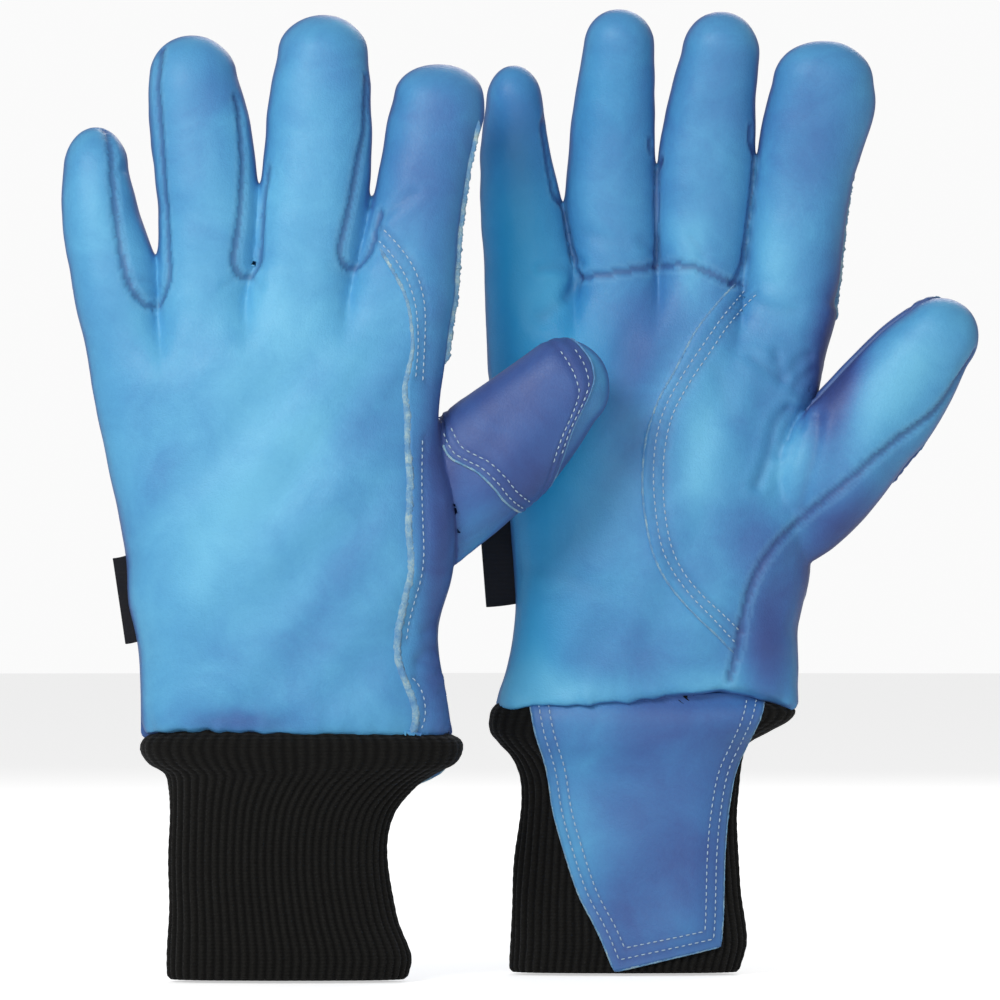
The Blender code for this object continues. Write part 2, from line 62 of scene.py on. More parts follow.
# Fingers: rows (z, outer edge, thumb edge) up to where the round end starts, then the tip's height.
PATTERNS = {
    "left": {
        "palm": 1.0,
        "knuckles": [(-71.0, 229.0), (-44.0, 229.5), (-13.5, 239.0), (21.5, 241.5), (57.5, 235.5)],
        "outer_edge": [(80, -49.8), (98, -49.5), (111.5, -50.4), (128.5, -54.2), (145.5, -55.6), (159, -57.6),
                       (179.5, -62.2), (206.7, -67.5), (232, -72.0)],
        "thumb_edge": [(80, 55.5), (101.3, 51.3), (118.3, 49.4), (138.7, 54.6), (160, 54.0), (190, 49.5),
                       (207.7, 51.6), (238, 56.5)],
        "fingers": {
            "little": [(214, -68.5, -43), (230.5, -72.6, -44.6), (240.7, -74.3, -45.2), (247.5, -75.7, -47.1),
                       (261.1, -77.0, -51.9), (274.7, -76.3, -55.3), 288.3],
            "ring": [(220, -44, -14), (236, -44.6, -13.0), (247, -44.2, -11.2), (261, -44.2, -10.9),
                     (281.5, -46.6, -12.8), (298, -47.4, -16.2), (306, -47.0, -18.6), 319.0],
            "middle": [(222, -13, 21), (238, -12.8, 22.2), (250, -11.8, 24.8), (261, -10.7, 26),
                       (281.5, -8.3, 27), (301.9, -6.3, 26.7), (313, -4.2, 25.6), 326.0],
            "index": [(222, 21.5, 53.5), (240.7, 22.0, 56.0), (254.3, 25.3, 56.9), (267.9, 29.0, 58.9),
                      (281.5, 31.6, 62.0), (291, 33.0, 64.6), (298, 35.0, 64.6), 309.3],
        },
        "thumb_root": (49.5, 163.5),
        "thumb_tip": (105.5, 206.5),
        "thumb": [(-14, -21.5, 19.0), (0, -21.3, 20.0), (18, -20.6, 20.0), (32, -19.4, 18.8), (45, -16.0, 18.4),
                  (58, -11.6, 18.2), 72.0],
    },
    "right": {
        "palm": -1.0,
        "knuckles": [(-48.0, 239.0), (-18.0, 241.5), (10.0, 243.5), (39.0, 236.5), (71.5, 227.5)],
        "outer_edge": [(88, -45.0), (96, -43.0), (106.8, -39.6), (118, -37.9), (127.5, -37.7), (155, -39.6),
                       (179.5, -43.0), (196.5, -45.5), (213.5, -47.2), (240, -47.8)],
        "thumb_edge": [(88, 57.3), (97.4, 58.4), (110, 58.2), (119, 58.1), (128, 60.4), (136, 62.6), (160, 63.5),
                       (190, 62.0), (198, 64.8), (212, 67.9), (222, 70.7), (232, 72.8)],
        "fingers": {
            "little": [(222, -47.0, -18), (243, -48.2, -18.2), (254.3, -49.3, -20.4), (267.9, -49.6, -23.4),
                       (281.5, -49.6, -26.5), (298, -47.4, -29.4), 310.6],
            "ring": [(226, -17.5, 10.2), (247, -18.6, 10.3), (261, -20.6, 9.9), (281.5, -19.3, 9.2),
                     (301.9, -17, 9.2), (318, -14.6, 9.0), 330.3],
            "middle": [(224, 10.6, 39.2), (247, 10.7, 40.5), (261, 10.2, 42.3), (281.5, 11.6, 43.6),
                       (301.9, 15.3, 43.9), (315.5, 19.4, 45.0), 329.0],
            "index": [(214, 39.4, 66.0), (232, 39.6, 71.2), (254.3, 42.2, 74.4), (274.7, 44.6, 77.9),
                      (290, 46.7, 82.6), (299, 48.6, 84.6), (305, 50.4, 84.0), 319.0],
        },
        "thumb_root": (61.0, 166.0),
        "thumb_tip": (115.5, 224.5),
        "thumb": [(-26, -15.5, 14.0), (-10, -20.2, 16.4), (4, -21.4, 17.5), (16, -20.4, 17.7), (30, -18.4, 17.6),
                  (41, -18.2, 17.8), (57, -15.4, 17.0), (69, -11.4, 15.0), 83.0],
    },
}
HEM = {"left": 83.3, "right": 92.0}
# The hem's line over each face, as (x, z); where none is given it is level.
HEM_LINES = {
    ("left", BACK): [(-51, 81), (-44, 84.4), (-26, 85.4), (-12, 84), (2, 83), (18, 85), (29, 83.4), (39, 81.6),
                     (56, 82.6)],
    ("right", PALM): [(-45, 91.6), (-28, 92.4), (-11, 92.8), (0, 95), (21, 96.2), (33, 98.6), (45, 98.2),
                      (52.6, 94.2),
                      (58, 92)],
}

SKIN_VOXEL = 0.95
FLEECE_VOXEL = 2.2
LEATHER = 1.3


def smooth_value(points, at):
    """Values at positions along a smooth curve through (position, value) points."""
    p = np.array([q[0] for q in points], float)
    v = np.array([q[1] for q in points], float)
    slope = np.empty_like(v)
    slope[1:-1] = (v[2:] - v[:-2]) / (p[2:] - p[:-2])
    slope[0] = (v[1] - v[0]) / (p[1] - p[0])
    slope[-1] = (v[-1] - v[-2]) / (p[-1] - p[-2])
    at = np.clip(np.asarray(at, float), p[0], p[-1])
    k = np.clip(np.searchsorted(p, at, side="right") - 1, 0, len(p) - 2)
    step = p[k + 1] - p[k]
    t = (at - p[k]) / step
    return ((1 + 2 * t) * (1 - t) ** 2 * v[k] + t * (1 - t) ** 2 * step * slope[k]
            + t * t * (3 - 2 * t) * v[k + 1] + t * t * (t - 1) * step * slope[k + 1])


def smoothstep(low, high, value):
    t = np.clip((np.asarray(value, float) - low) / (high - low), 0.0, 1.0)
    return t * t * (3 - 2 * t)


def rounded(angles, power):
    """Unit rounded-box section: (across, depth) at angles from the back, the first along -depth."""
    s, c = np.sin(angles), np.cos(angles)
    return np.sign(s) * np.abs(s) ** (2 / power), -np.sign(c) * np.abs(c) ** (2 / power)


def loft(bm, rings):
    """Closed tube through rings of points, each a (n, 3) array, with a fan at both ends."""
    rows = [[bm.verts.new(p) for p in ring] for ring in rings]
    n = len(rows[0])
    for low, high in zip(rows, rows[1:]):
        for j in range(n):
            bm.faces.new((low[j], low[(j + 1) % n], high[(j + 1) % n], high[j]))
    bm.faces.new(list(reversed(rows[0])))
    bm.faces.new(rows[-1])


class Glove:
    """One glove's pattern with its place in the frame."""

    def __init__(self, side):
        self.side = side
        self.pattern = PATTERNS[side]
        self.palm = self.pattern["palm"]
        (ax, az), (bx, bz) = self.pattern["knuckles"][3:5]
        joint = next(j for j in frame["joints"] if j["name"] == f"{side}_index_flex")
        hinge = joint["pos_m"]
        self.x0 = hinge[0] - (ax + bx) / 2 * MM
        self.y0 = hinge[1] - self.palm * FINGER_HALF["index"] * MM
        root, tip = (np.array(self.pattern[k]) for k in ("thumb_root", "thumb_tip"))
        self.thumb_root = root
        self.thumb_axis = (tip - root) / np.linalg.norm(tip - root)
        self.thumb_across = np.array((-self.thumb_axis[1], self.thumb_axis[0]))

    def world(self, local):
        """World metres from glove millimetres (x, depth, z)."""
        local = np.asarray(local, float)
        return np.stack((self.x0 + local[..., 0] * MM, self.y0 + self.palm * local[..., 1] * MM,
                         local[..., 2] * MM), axis=-1)

    def local(self, world):
        world = np.asarray(world, float)
        return np.stack(((world[..., 0] - self.x0) / MM, self.palm * (world[..., 1] - self.y0) / MM,
                         world[..., 2] / MM), axis=-1)


def finger_rings(pattern, name, inset, sides=40):
    """Level sections of a finger from inside the hand to its round tip."""
    *rows, top = pattern["fingers"][name]
    edges = [[(r[0], r[k]) for r in rows] for k in (1, 2)]
    shoulder, start = rows[-1][0], rows[0][0]
    angles = np.arange(sides) * 2 * math.pi / sides
    base_z = pattern["knuckles"][FINGERS.index(name)][1]
    rings = []
    heights = list(np.linspace(start, shoulder, 24)) + [None] * 9
    for k, z in enumerate(heights):
        scale = 1.0
        if z is None:
            turn = (k - 23) / 9.3 * math.pi / 2
            z = shoulder + (top - shoulder) * math.sin(turn)
            scale = max(0.05, math.cos(turn))
        outer, inner = (float(smooth_value(e, min(z, shoulder))) for e in edges)
        share = max(0.0, (z - base_z) / (top - base_z))
        across, depth = rounded(angles, 2.35 - 0.25 * min(1.0, share))
        half = FINGER_HALF[name] * (1.0 - 0.12 * share)
        z -= inset * share
        x = (outer + inner) / 2 + across * ((inner - outer) / 2 - inset) * scale
        d = CURL * share ** 2 + depth * (half - inset) * scale
        rings.append(np.stack((x, d, np.full(sides, z)), axis=-1))
    return rings


def thumb_rings(glove, inset, sides=40):
    *rows, top = glove.pattern["thumb"]
    edges = [[(r[0], r[k]) for r in rows] for k in (1, 2)]
    shoulder, start = rows[-1][0], rows[0][0]
    angles = np.arange(sides) * 2 * math.pi / sides
    rings = []
    stations = list(np.linspace(start, shoulder, 24)) + [None] * 9
    for k, s in enumerate(stations):
        scale = 1.0
        if s is None:
            turn = (k - 23) / 9.3 * math.pi / 2
            s = shoulder + (top - shoulder) * math.sin(turn)
            scale = max(0.05, math.cos(turn))
        low, high = (float(smooth_value(e, min(s, shoulder))) for e in edges)
        across, depth = rounded(angles, 2.3)
        a = (low + high) / 2 - across * ((high - low) / 2 - inset) * scale
        half = 14.5 - 1.5 * max(0.0, s) / top - inset
        half *= 0.4 + 0.6 * float(smoothstep(start, start + 32, s))
        centre = 5.0 + 3.0 * float(smoothstep(-15, 20, s))
        s -= inset * max(0.0, s) / top
        flat = glove.thumb_root + s * glove.thumb_axis + a[:, None] * glove.thumb_across
        rings.append(np.stack((flat[:, 0], centre + depth * half * scale, flat[:, 1]), axis=-1))
    return rings


def hand_rings(glove, inset):
    """Sections of the hand from the hem to the knuckle line, where they follow the four finger roots."""
    pattern = glove.pattern
    knuckles = np.array(pattern["knuckles"])
    ends = (knuckles[:, 0] - knuckles[0, 0]) / (knuckles[-1, 0] - knuckles[0, 0])
    locals_ = (1 - np.cos(np.linspace(0, math.pi, 11))) / 2
    shares = np.unique(np.concatenate([ends[k] + (ends[k + 1] - ends[k]) * locals_ for k in range(4)]).round(6))
    finger = np.clip(np.searchsorted(ends, shares, side="right") - 1, 0, 3)
    along = (shares - ends[finger]) / (ends[finger + 1] - ends[finger])
    top = knuckles[finger, 1] * (1 - along) + knuckles[finger + 1, 1] * along
    p = 2 * along - 1
    halves = np.array([FINGER_HALF[name] for name in FINGERS])
    lobe = np.maximum(0, 1 - np.abs(p) ** 2.4) ** (1 / 2.4)
    closed = ~(((finger == 0) & (p < 0)) | ((finger == 3) & (p > 0)))
    lobe = np.where(closed, np.maximum(lobe, 0.35), lobe)
    hem = HEM[glove.side]
    rings = []
    for rise in np.linspace(0, 1, 34):
        z = hem + (top - hem) * rise
        outer, inner = smooth_value(pattern["outer_edge"], z), smooth_value(pattern["thumb_edge"], z)
        q = 2 * shares - 1
        x = (outer + inner) / 2 + q * ((inner - outer) / 2 - inset)
        edge = np.maximum(0, 1 - np.abs(q) ** 2.7) ** (1 / 2.7)
        belly = float(smooth_value([(0, 19.5), (0.45, 21.5), (0.8, 18.5), (1, 16)], rise))
        blend = float(smoothstep(0.80, 1.0, rise))
        half = belly * edge * (1 - blend) + halves[finger] * lobe * blend
        half = np.maximum(half - inset, 0.4)
        heel = 2.0 * math.exp(-((rise - 0.35) / 0.25) ** 2) * edge
        hung = [(hem_line(glove, face, x) - hem) * max(0.0, 1 - rise * 5) for face in (BACK, PALM)]
        back = np.stack((x, -half, z + hung[0]), axis=-1)
        palm = np.stack((x, half + heel, z + hung[1]), axis=-1)[::-1]
        rings.append(np.concatenate((back, palm)))
    return rings


def hem_line(glove, face, x):
    points = HEM_LINES.get((glove.side, face), [(-60, HEM[glove.side]), (60, HEM[glove.side])])
    ends = smoothstep(points[0][0], points[0][0] + 5, x) * (1 - smoothstep(points[-1][0] - 5, points[-1][0], x))
    return HEM[glove.side] + (smooth_value(points, x) - HEM[glove.side]) * ends


def voxel_skin(glove, voxel, inset):
    """One closed skin over hand, fingers and thumb, as (points in glove millimetres, quads)."""
    parts = [hand_rings(glove, inset), thumb_rings(glove, inset)]
    parts += [finger_rings(glove.pattern, name, inset) for name in FINGERS]
    joined = bpy.data.meshes.new("union")
    bm = bmesh.new()
    for rings in parts:
        loft(bm, rings)
    bmesh.ops.recalc_face_normals(bm, faces=bm.faces)
    bm.to_mesh(joined)
    bm.free()
    holder = bpy.data.objects.new("union", joined)
    bpy.context.scene.collection.objects.link(holder)
    remesh = holder.modifiers.new("skin", "REMESH")
    remesh.mode = "VOXEL"
    remesh.voxel_size = voxel
    smooth = holder.modifiers.new("soften", "SMOOTH")
    smooth.factor = 0.5
    smooth.iterations = int(14 / voxel)
    mesh = holder.evaluated_get(bpy.context.evaluated_depsgraph_get()).to_mesh()
    points = np.empty(len(mesh.vertices) * 3)
    mesh.vertices.foreach_get("co", points)
    quads = np.array([p.vertices[:] for p in mesh.polygons if len(p.vertices) == 4])
    holder.to_mesh_clear()
    bpy.data.objects.remove(holder)
    return points.reshape(-1, 3), quads


# Seams and folds as (x, z) points in glove millimetres, drawn on the left back and the right palm. The
# other glove's same face takes them over, stretched to its own outline.
LAP_EDGE = {
    BACK: [(30.4, 247), (34.2, 240.4), (38.4, 232.5), (40.4, 225), (41.3, 213.2), (38.9, 201), (39.4, 191),
           (39.8, 178.5), (40.4, 166.3), (39.9, 152.3), (41, 140.8), (39.2, 131.6), (36.8, 121), (35.9, 112),
           (37.2, 105.6), (41.2, 95.5), (42.4, 89), (40.1, 81.8)],
    PALM: [(37.3, 236.4), (33.3, 232.4), (28.9, 227.3), (23.5, 220.2), (19.6, 213), (16.0, 206), (11.6, 198.4),
           (8.8, 191.6), (6.4, 183), (5.4, 174), (5.3, 164), (6.4, 155.4), (8.3, 146), (11.6, 138), (17, 130.2),
           (24.4, 122.2), (31, 116), (36.4, 110.3)],
}
LAP_STITCHES = {
    BACK: [[(29.7, 250), (35.2, 243.8), (39.8, 236), (42.4, 227.5), (43.2, 215.6), (42.3, 203.5)],
           [(31.4, 253.6), (36.6, 248), (41.8, 240.4), (44.8, 231.5), (45.6, 223), (45.2, 213), (44.7, 202.3)],
           [(44.6, 183), (44.4, 166.3), (44.9, 152.3), (45.1, 144), (44.2, 136.4), (42.1, 129), (40.1, 121.4),
            (39.2, 115.2)],
           [(41, 103), (43.4, 100.4), (45.2, 95.6), (45.5, 89.4), (43.3, 83.2)]],
    PALM: [[(40.6, 234.4), (33.3, 225.9), (26.6, 216.4), (18.6, 204.6), (12.5, 193), (9.7, 182.3), (8.9, 170.8),
            (9.6, 159.2), (11.6, 147), (15.3, 138.6), (22, 129.6), (29.4, 122), (36.9, 113.8)],
           [(44.4, 232.8), (38.8, 227.2), (33.1, 220.2), (29.8, 215.2), (22, 203.7), (15.7, 192.2), (13, 181.5),
            (12.2, 170.8), (12.7, 159.2), (14.9, 147), (18.7, 138.6), (25.2, 130.4), (33.4, 122.8), (38.2, 118)]],
}
# A seam that closes a finger's side panel runs down one finger, round the crotch and up the next.
POCKET_SEAMS = {
    BACK: [[(-62.6, 287), (-60.6, 281), (-60.0, 272.5), (-58.5, 258), (-56.8, 246.4), (-54.8, 237), (-52.6, 232.4),
            (-49.8, 229.0), (-46.6, 227.2), (-43.6, 228.0), (-41.9, 231.4), (-40.4, 237.5), (-40.9, 249),
            (-41.9, 266), (-42.9, 279), (-43.9, 295), (-44.1, 303), (-43, 313.6)],
           [(-18.6, 298), (-17.4, 292), (-16.2, 277), (-16.9, 258), (-18.7, 245), (-18.5, 240.3), (-16.6, 237.6),
            (-13.6, 237.2), (-10.9, 239.8), (-9.4, 244.5), (-9.0, 250), (-8.6, 262), (-7.2, 274)],
           [(25.2, 305), (24.8, 288), (22.4, 275), (20.2, 262), (17.8, 252), (16.8, 246), (17.8, 241.8),
            (20.4, 240), (23.6, 241.2), (26.4, 244.5), (28.4, 249.5), (30.4, 259)]],
    PALM: [[(-28.8, 294), (-25.4, 281), (-22.6, 266), (-19.9, 253), (-18.0, 245.6), (-16.6, 241.4), (-15.6, 238.6)],
           [(10.4, 285), (10.3, 266), (10.1, 252), (10.0, 246), (9.8, 242.3)],
           [(44.2, 290), (42.4, 268), (40.6, 252), (39.4, 244), (37.8, 239), (36.2, 236.4)]],
}
BASE_SEAM = [(-15.6, 238.5), (-4.9, 239.8), (4.1, 241.4), (9.8, 242.1), (18, 242.8), (23.5, 242), (29.8, 239.1),
             (35.3, 236.6), (39.2, 236.4)]
THUMB_SEAM = [(118.6, 213), (111.7, 202.2), (105.1, 193.2), (96.9, 186.6), (92.8, 184), (84.5, 177.4),
              (75.5, 169.2), (67.2, 162.4), (59, 155.5), (51.6, 148.5), (45.8, 141), (41.7, 132), (39.2, 122),
              (38, 114), (36.4, 107), (34.9, 101.5)]
INDEX_OUTSEAM = [(66.2, 290), (63.2, 281.5), (60.5, 273), (58.3, 262), (56.5, 248), (55.2, 235), (53.2, 224),
                 (51.8, 208)]

# Folds: (depth in mm, half width in mm, points).
FOLDS = {
    BACK: [(0.5, 1.3, [(31.6, 258), (36, 261.4), (41.5, 265)]), (0.35, 1.0, [(-22, 234.4), (-18.4, 237.2)]),
           (0.35, 1.0, [(-9.6, 233.8), (-12, 237)]), (0.4, 1.1, [(-53.6, 235.4), (-48.6, 236.4), (-43, 234)]),
           (0.4, 1.1, [(-50.6, 231), (-46, 231.6), (-42.8, 230.6)]), (0.3, 1.0, [(-56.6, 274), (-53.2, 275.6)]),
           (0.5, 1.4, [(42, 107), (47, 112.6), (50.4, 111)]), (0.45, 1.2, [(43, 103.6), (48, 100.6), (52, 98.4)]),
           (0.45, 1.2, [(43.5, 108.5), (47.6, 106.4), (51.5, 104.6)]), (0.4, 1.2, [(45, 118), (48.8, 121.6)]),
           (0.35, 2.0, [(14, 241), (17.6, 239.4), (20, 236)]), (0.7, 3.6, [(-29, 87), (-18, 89.5), (-5, 87.4)]),
           (0.35, 1.1, [(-27, 84), (-25.4, 88.6)]), (0.35, 1.1, [(-12, 84), (-12.6, 89)])],
    PALM: [(0.75, 1.3, [(-16.4, 238), (-18.6, 234.6), (-20.6, 231.6)]),
           (0.7, 2.4, [(-17.4, 236.6), (-23, 230), (-29, 225)]),
           (0.5, 1.2, [(-29.8, 241.4), (-24, 241.8), (-18.6, 240.6)]), (0.8, 1.2, [(-17.7, 246), (-15, 243.2)]),
           (1.0, 1.2, [(54.4, 194), (50.7, 188.8), (47.6, 176), (44.2, 167.4)]),
           (0.7, 1.1, [(56.2, 193.2), (53.4, 187), (51.4, 178)]),
           (0.7, 1.0, [(58.4, 193.2), (56.6, 188), (55, 183)]),
           (0.9, 1.6, [(65.4, 190.6), (63.9, 180), (60.8, 168), (59.2, 160)]),
           (0.6, 1.1, [(61.6, 192.8), (60, 187.4)]), (0.55, 1.3, [(43, 210.4), (47.5, 207.2), (51.8, 203.8)]),
           (0.6, 1.2, [(50.9, 212.4), (51.6, 207.6), (53.2, 203)]),
           (0.5, 1.2, [(54.6, 205), (58.2, 209.4), (62, 211.6)]),
           (0.5, 1.2, [(56.8, 201.6), (60.4, 205.6), (63, 207.4)]),
           (0.35, 1.6, [(45, 230), (50, 227.4), (57, 226.8)]),
           (0.3, 2.2, [(30, 207), (33, 200), (35.4, 190)]), (0.4, 1.3, [(5, 250.6), (9, 247)]),
           (0.35, 1.2, [(22, 252), (26, 246.4)]), (0.3, 1.6, [(-13.6, 253.6), (-6, 251), (0, 248.4)]),
           (0.4, 3.0, [(47, 104), (55, 108.6), (60, 116)]), (0.3, 2.4, [(-36, 139), (-22, 137), (-8, 131)])],
}


def curve_points(points, step=0.6):
    """Evenly spaced points on a smooth curve through the given ones."""
    p = np.array(points, float)
    run = np.concatenate(([0.0], np.cumsum(np.linalg.norm(np.diff(p, axis=0), axis=1))))
    at = np.linspace(0.0, run[-1], max(3, int(run[-1] / step) + 1))
    return np.stack([smooth_value(list(zip(run, p[:, k])), at) for k in range(p.shape[1])], axis=-1)


def normals_of(points, quads):
    """Unit vertex normals of a quad mesh."""
    a, b, c, d = (points[quads[:, k]] for k in range(4))
    face = np.cross(c - a, d - b)
    total = np.zeros_like(points)
    for k in range(4):
        for axis in range(3):
            total[:, axis] += np.bincount(quads[:, k], weights=face[:, axis], minlength=len(points))
    return total / np.maximum(np.linalg.norm(total, axis=1, keepdims=True), 1e-12)


class Skin:
    """A glove's leather surface, with what is needed to draw on it."""

    def __init__(self, glove, voxel, inset=0.0):
        self.glove = glove
        self.points, self.quads = voxel_skin(glove, voxel, inset)
        self.refresh()

    def refresh(self):
        self.normals = normals_of(self.points, self.quads)
        if np.einsum("ij,ij->", self.normals, self.points - self.points.mean(axis=0)) < 0:
            self.normals = -self.normals
        self.tree = BVHTree.FromPolygons(self.points.tolist(), self.quads.tolist())

    def trace(self, face, points, step=0.6):
        """The curve's points and normals where it lies on one face of the glove."""
        on, normals = [], []
        for x, z in curve_points(points, step):
            hit, normal, _, _ = self.tree.ray_cast(Vector((x, face * 80.0, z)), Vector((0, -face, 0)))
            if hit is None:
                hit, normal, _, _ = self.tree.find_nearest(Vector((x, face * 10.0, z)))
            if normal.y * face < -0.2:
                normal = -normal
            on.append(hit)
            normals.append(normal)
        on, normals = np.array(on), np.array(normals)
        for _ in range(int(9 / step)):
            normals[1:-1] = (normals[:-2] + 2 * normals[1:-1] + normals[2:]) / 4
            on[1:-1] = (on[:-2] + 2 * on[1:-1] + on[2:]) / 4
        return on, normals / np.linalg.norm(normals, axis=1, keepdims=True)

    def trace_side(self, points, depth, step=0.6):
        """The curve's points and normals on the nearest side of the glove, at one depth."""
        on, normals = [], []
        for x, z in curve_points(points, step):
            hit, normal, _, _ = self.tree.find_nearest(Vector((x + 2.0, depth, z)))
            on.append(hit)
            normals.append(normal if normal.x > 0 else -normal)
        on, normals = np.array(on), np.array(normals)
        for _ in range(int(9 / step)):
            normals[1:-1] = (normals[:-2] + 2 * normals[1:-1] + normals[2:]) / 4
            on[1:-1] = (on[:-2] + 2 * on[1:-1] + on[2:]) / 4
        return on, normals / np.linalg.norm(normals, axis=1, keepdims=True)

    def distance_to(self, line, reach):
        """Distance of each point of the skin to a line on it, capped at reach."""
        found = np.full(len(self.points), reach)
        low, high = line.min(axis=0) - reach, line.max(axis=0) + reach
        near = np.nonzero(np.all((self.points > low) & (self.points < high), axis=1))[0]
        for start in range(0, len(near), 4000):
            part = near[start:start + 4000]
            gap = self.points[part][:, None, :] - line[None, :, :]
            found[part] = np.minimum(found[part], np.sqrt((gap ** 2).sum(axis=2).min(axis=1)))
        return found


def face_share(skin):
    """For each point of the skin, 1 on the palm face, -1 on the back, and near 0 along the sides."""
    return np.clip(skin.normals[:, 1] * 1.6, -1, 1)


def adapt(points, source, target):
    """Points drawn on one glove's hand, moved to the other glove's: same share across and up the hand."""
    if source.side == target.side:
        return points
    moved = []
    for x, z in points:
        share, rise = hand_share(source, x, z)
        moved.append(hand_place(target, share, rise))
    return moved


def hand_share(glove, x, z):
    outer, inner = outline_at(glove, z)
    top = knuckle_height(glove, x)
    return (x - outer) / (inner - outer), (z - HEM[glove.side]) / (top - HEM[glove.side])


def hand_place(glove, share, rise):
    hem, x = HEM[glove.side], 0.0
    for _ in range(12):
        z = hem + rise * (knuckle_height(glove, x) - hem)
        outer, inner = outline_at(glove, z)
        x = outer + share * (inner - outer)
    return x, z


def outline_at(glove, z):
    """The outer and thumb edges of the palm at a height. Above the knuckles they follow the fingers."""
    pattern = glove.pattern
    knuckles = pattern["knuckles"]
    outer = float(smooth_value(pattern["outer_edge"], z))
    inner = float(smooth_value(pattern["thumb_edge"], z))
    above = max(0.0, z - knuckles[0][1])
    return outer - 0.02 * above, inner + 0.05 * above


def knuckle_height(glove, x):
    corners = glove.pattern["knuckles"]
    return float(np.interp(x, [c[0] for c in corners], [c[1] for c in corners]))


# Tone over each face, partly uneven dye and partly painted light and shade: (strength, x, z, half width, half height,
# lean in degrees).
TONE = {
    ("left", BACK): [(0.16, -8, 190, 60, 100, 0), (0.14, -26, 150, 12, 60, 34), (0.12, -8, 225, 34, 14, 10),
                     (-0.26, 46, 272, 18, 32, 8),
                     (-0.46, 50, 140, 8, 90, 0), (-0.14, 14, 130, 9, 34, 36), (-0.10, -50, 160, 7, 34, 30),
                     (0.12, -68, 262, 8, 24, 0), (-0.16, 24, 190, 12, 26, 30), (-0.30, -18, 88, 20, 5, 0),
                     (0.08, 10, 272, 10, 30, 0), (-0.12, 16, 306, 10, 12, 0), (-0.62, 74, 178, 28, 26, 0),
                     (-0.14, -26, 300, 10, 12, 0), (0.10, 4, 176, 8, 40, 34)],
    ("right", PALM): [(-0.10, 20, 210, 60, 60, 0), (0.30, -26, 98, 30, 7, 0), (0.16, 30, 100, 26, 8, 0),
                      (0.20, 26, 185, 12, 26, 0), (-0.26, 0, 210, 9, 26, 14), (0.18, 24, 176, 7, 22, 0),
                      (0.22, 22, 240, 6, 12, 0), (0.30, 88, 200, 13, 34, 42), (0.26, 50, 246, 8, 16, 0),
                      (-0.20, 66, 290, 16, 22, 0), (0.16, 20, 254, 10, 6, 0), (-0.16, 2, 106, 22, 14, 0),
                      (0.26, -34, 104, 10, 14, 30), (-0.48, 70, 146, 12, 34, 42), (-0.44, 48, 112, 9, 24, 0),
                      # The mark at (72, 212) is painted shadow on the index finger's side by the thumb crotch.
                      (-0.95, 72, 212, 9, 30, 8), (0.20, -26, 232, 8, 16, 0), (-0.12, -2, 300, 16, 24, 0),
                      (-0.10, 32, 300, 14, 20, 0), (-0.40, -36, 284, 10, 26, -8), (0.18, 54, 176, 8, 16, 24),
                      (-0.20, 42, 150, 12, 12, 0), (-0.22, -22, 222, 5, 14, 34)],
}
CYAN = {("right", PALM): [(1.0, -26, 186, 20, 46, 8), (0.75, -38, 250, 14, 46, 0), (0.5, -36, 118, 16, 28, 0),
                          (0.2, -6, 300, 14, 24, 0)]}


def blobs(skin, marks):
    """Sum of soft elliptical marks on the skin, in its (x, z) plane."""
    total = np.zeros(len(skin.points))
    for strength, x, z, wide, high, lean in marks:
        turn = math.radians(lean)
        dx, dz = skin.points[:, 0] - x, skin.points[:, 2] - z
        across = (dx * math.cos(turn) - dz * math.sin(turn)) / wide
        up = (dx * math.sin(turn) + dz * math.cos(turn)) / high
        total += strength * np.exp(-(across ** 2 + up ** 2) * 1.2)
    return total


def waves(skin, size, stretch, lean, seed):
    """Smooth noise between -1 and 1, in folds that run along a direction leaning from the vertical."""
    turn = math.radians(lean)
    x, d, z = skin.points.T
    along_it = (x * math.sin(turn) + z * math.cos(turn)) / (size * stretch)
    across_it = (x * math.cos(turn) - z * math.sin(turn)) / size
    return np.array([noise.noise(Vector((a, b, c / size * 0.7 + seed)))
                     for a, b, c in zip(along_it, across_it, d)]) * 1.6


def lap_offset(glove, face, points):
    """Distance from the lap seam's raw edge towards the thumb side, and where the seam runs."""
    edge = adapt(LAP_EDGE[face], SOURCE[face], glove)
    curve = curve_points(edge, 1.0)
    order = np.argsort(curve[:, 1])
    xs, zs = curve[order, 0], curve[order, 1]
    edge_x = np.interp(points[:, 2], zs, xs)
    slope = np.interp(points[:, 2], zs, np.gradient(xs, zs + np.arange(len(zs)) * 1e-6))
    within = smoothstep(zs[0] - 2, zs[0] + 4, points[:, 2]) * (1 - smoothstep(zs[-1] - 5, zs[-1] + 1, points[:, 2]))
    return (points[:, 0] - edge_x) / np.sqrt(1 + slope ** 2), within


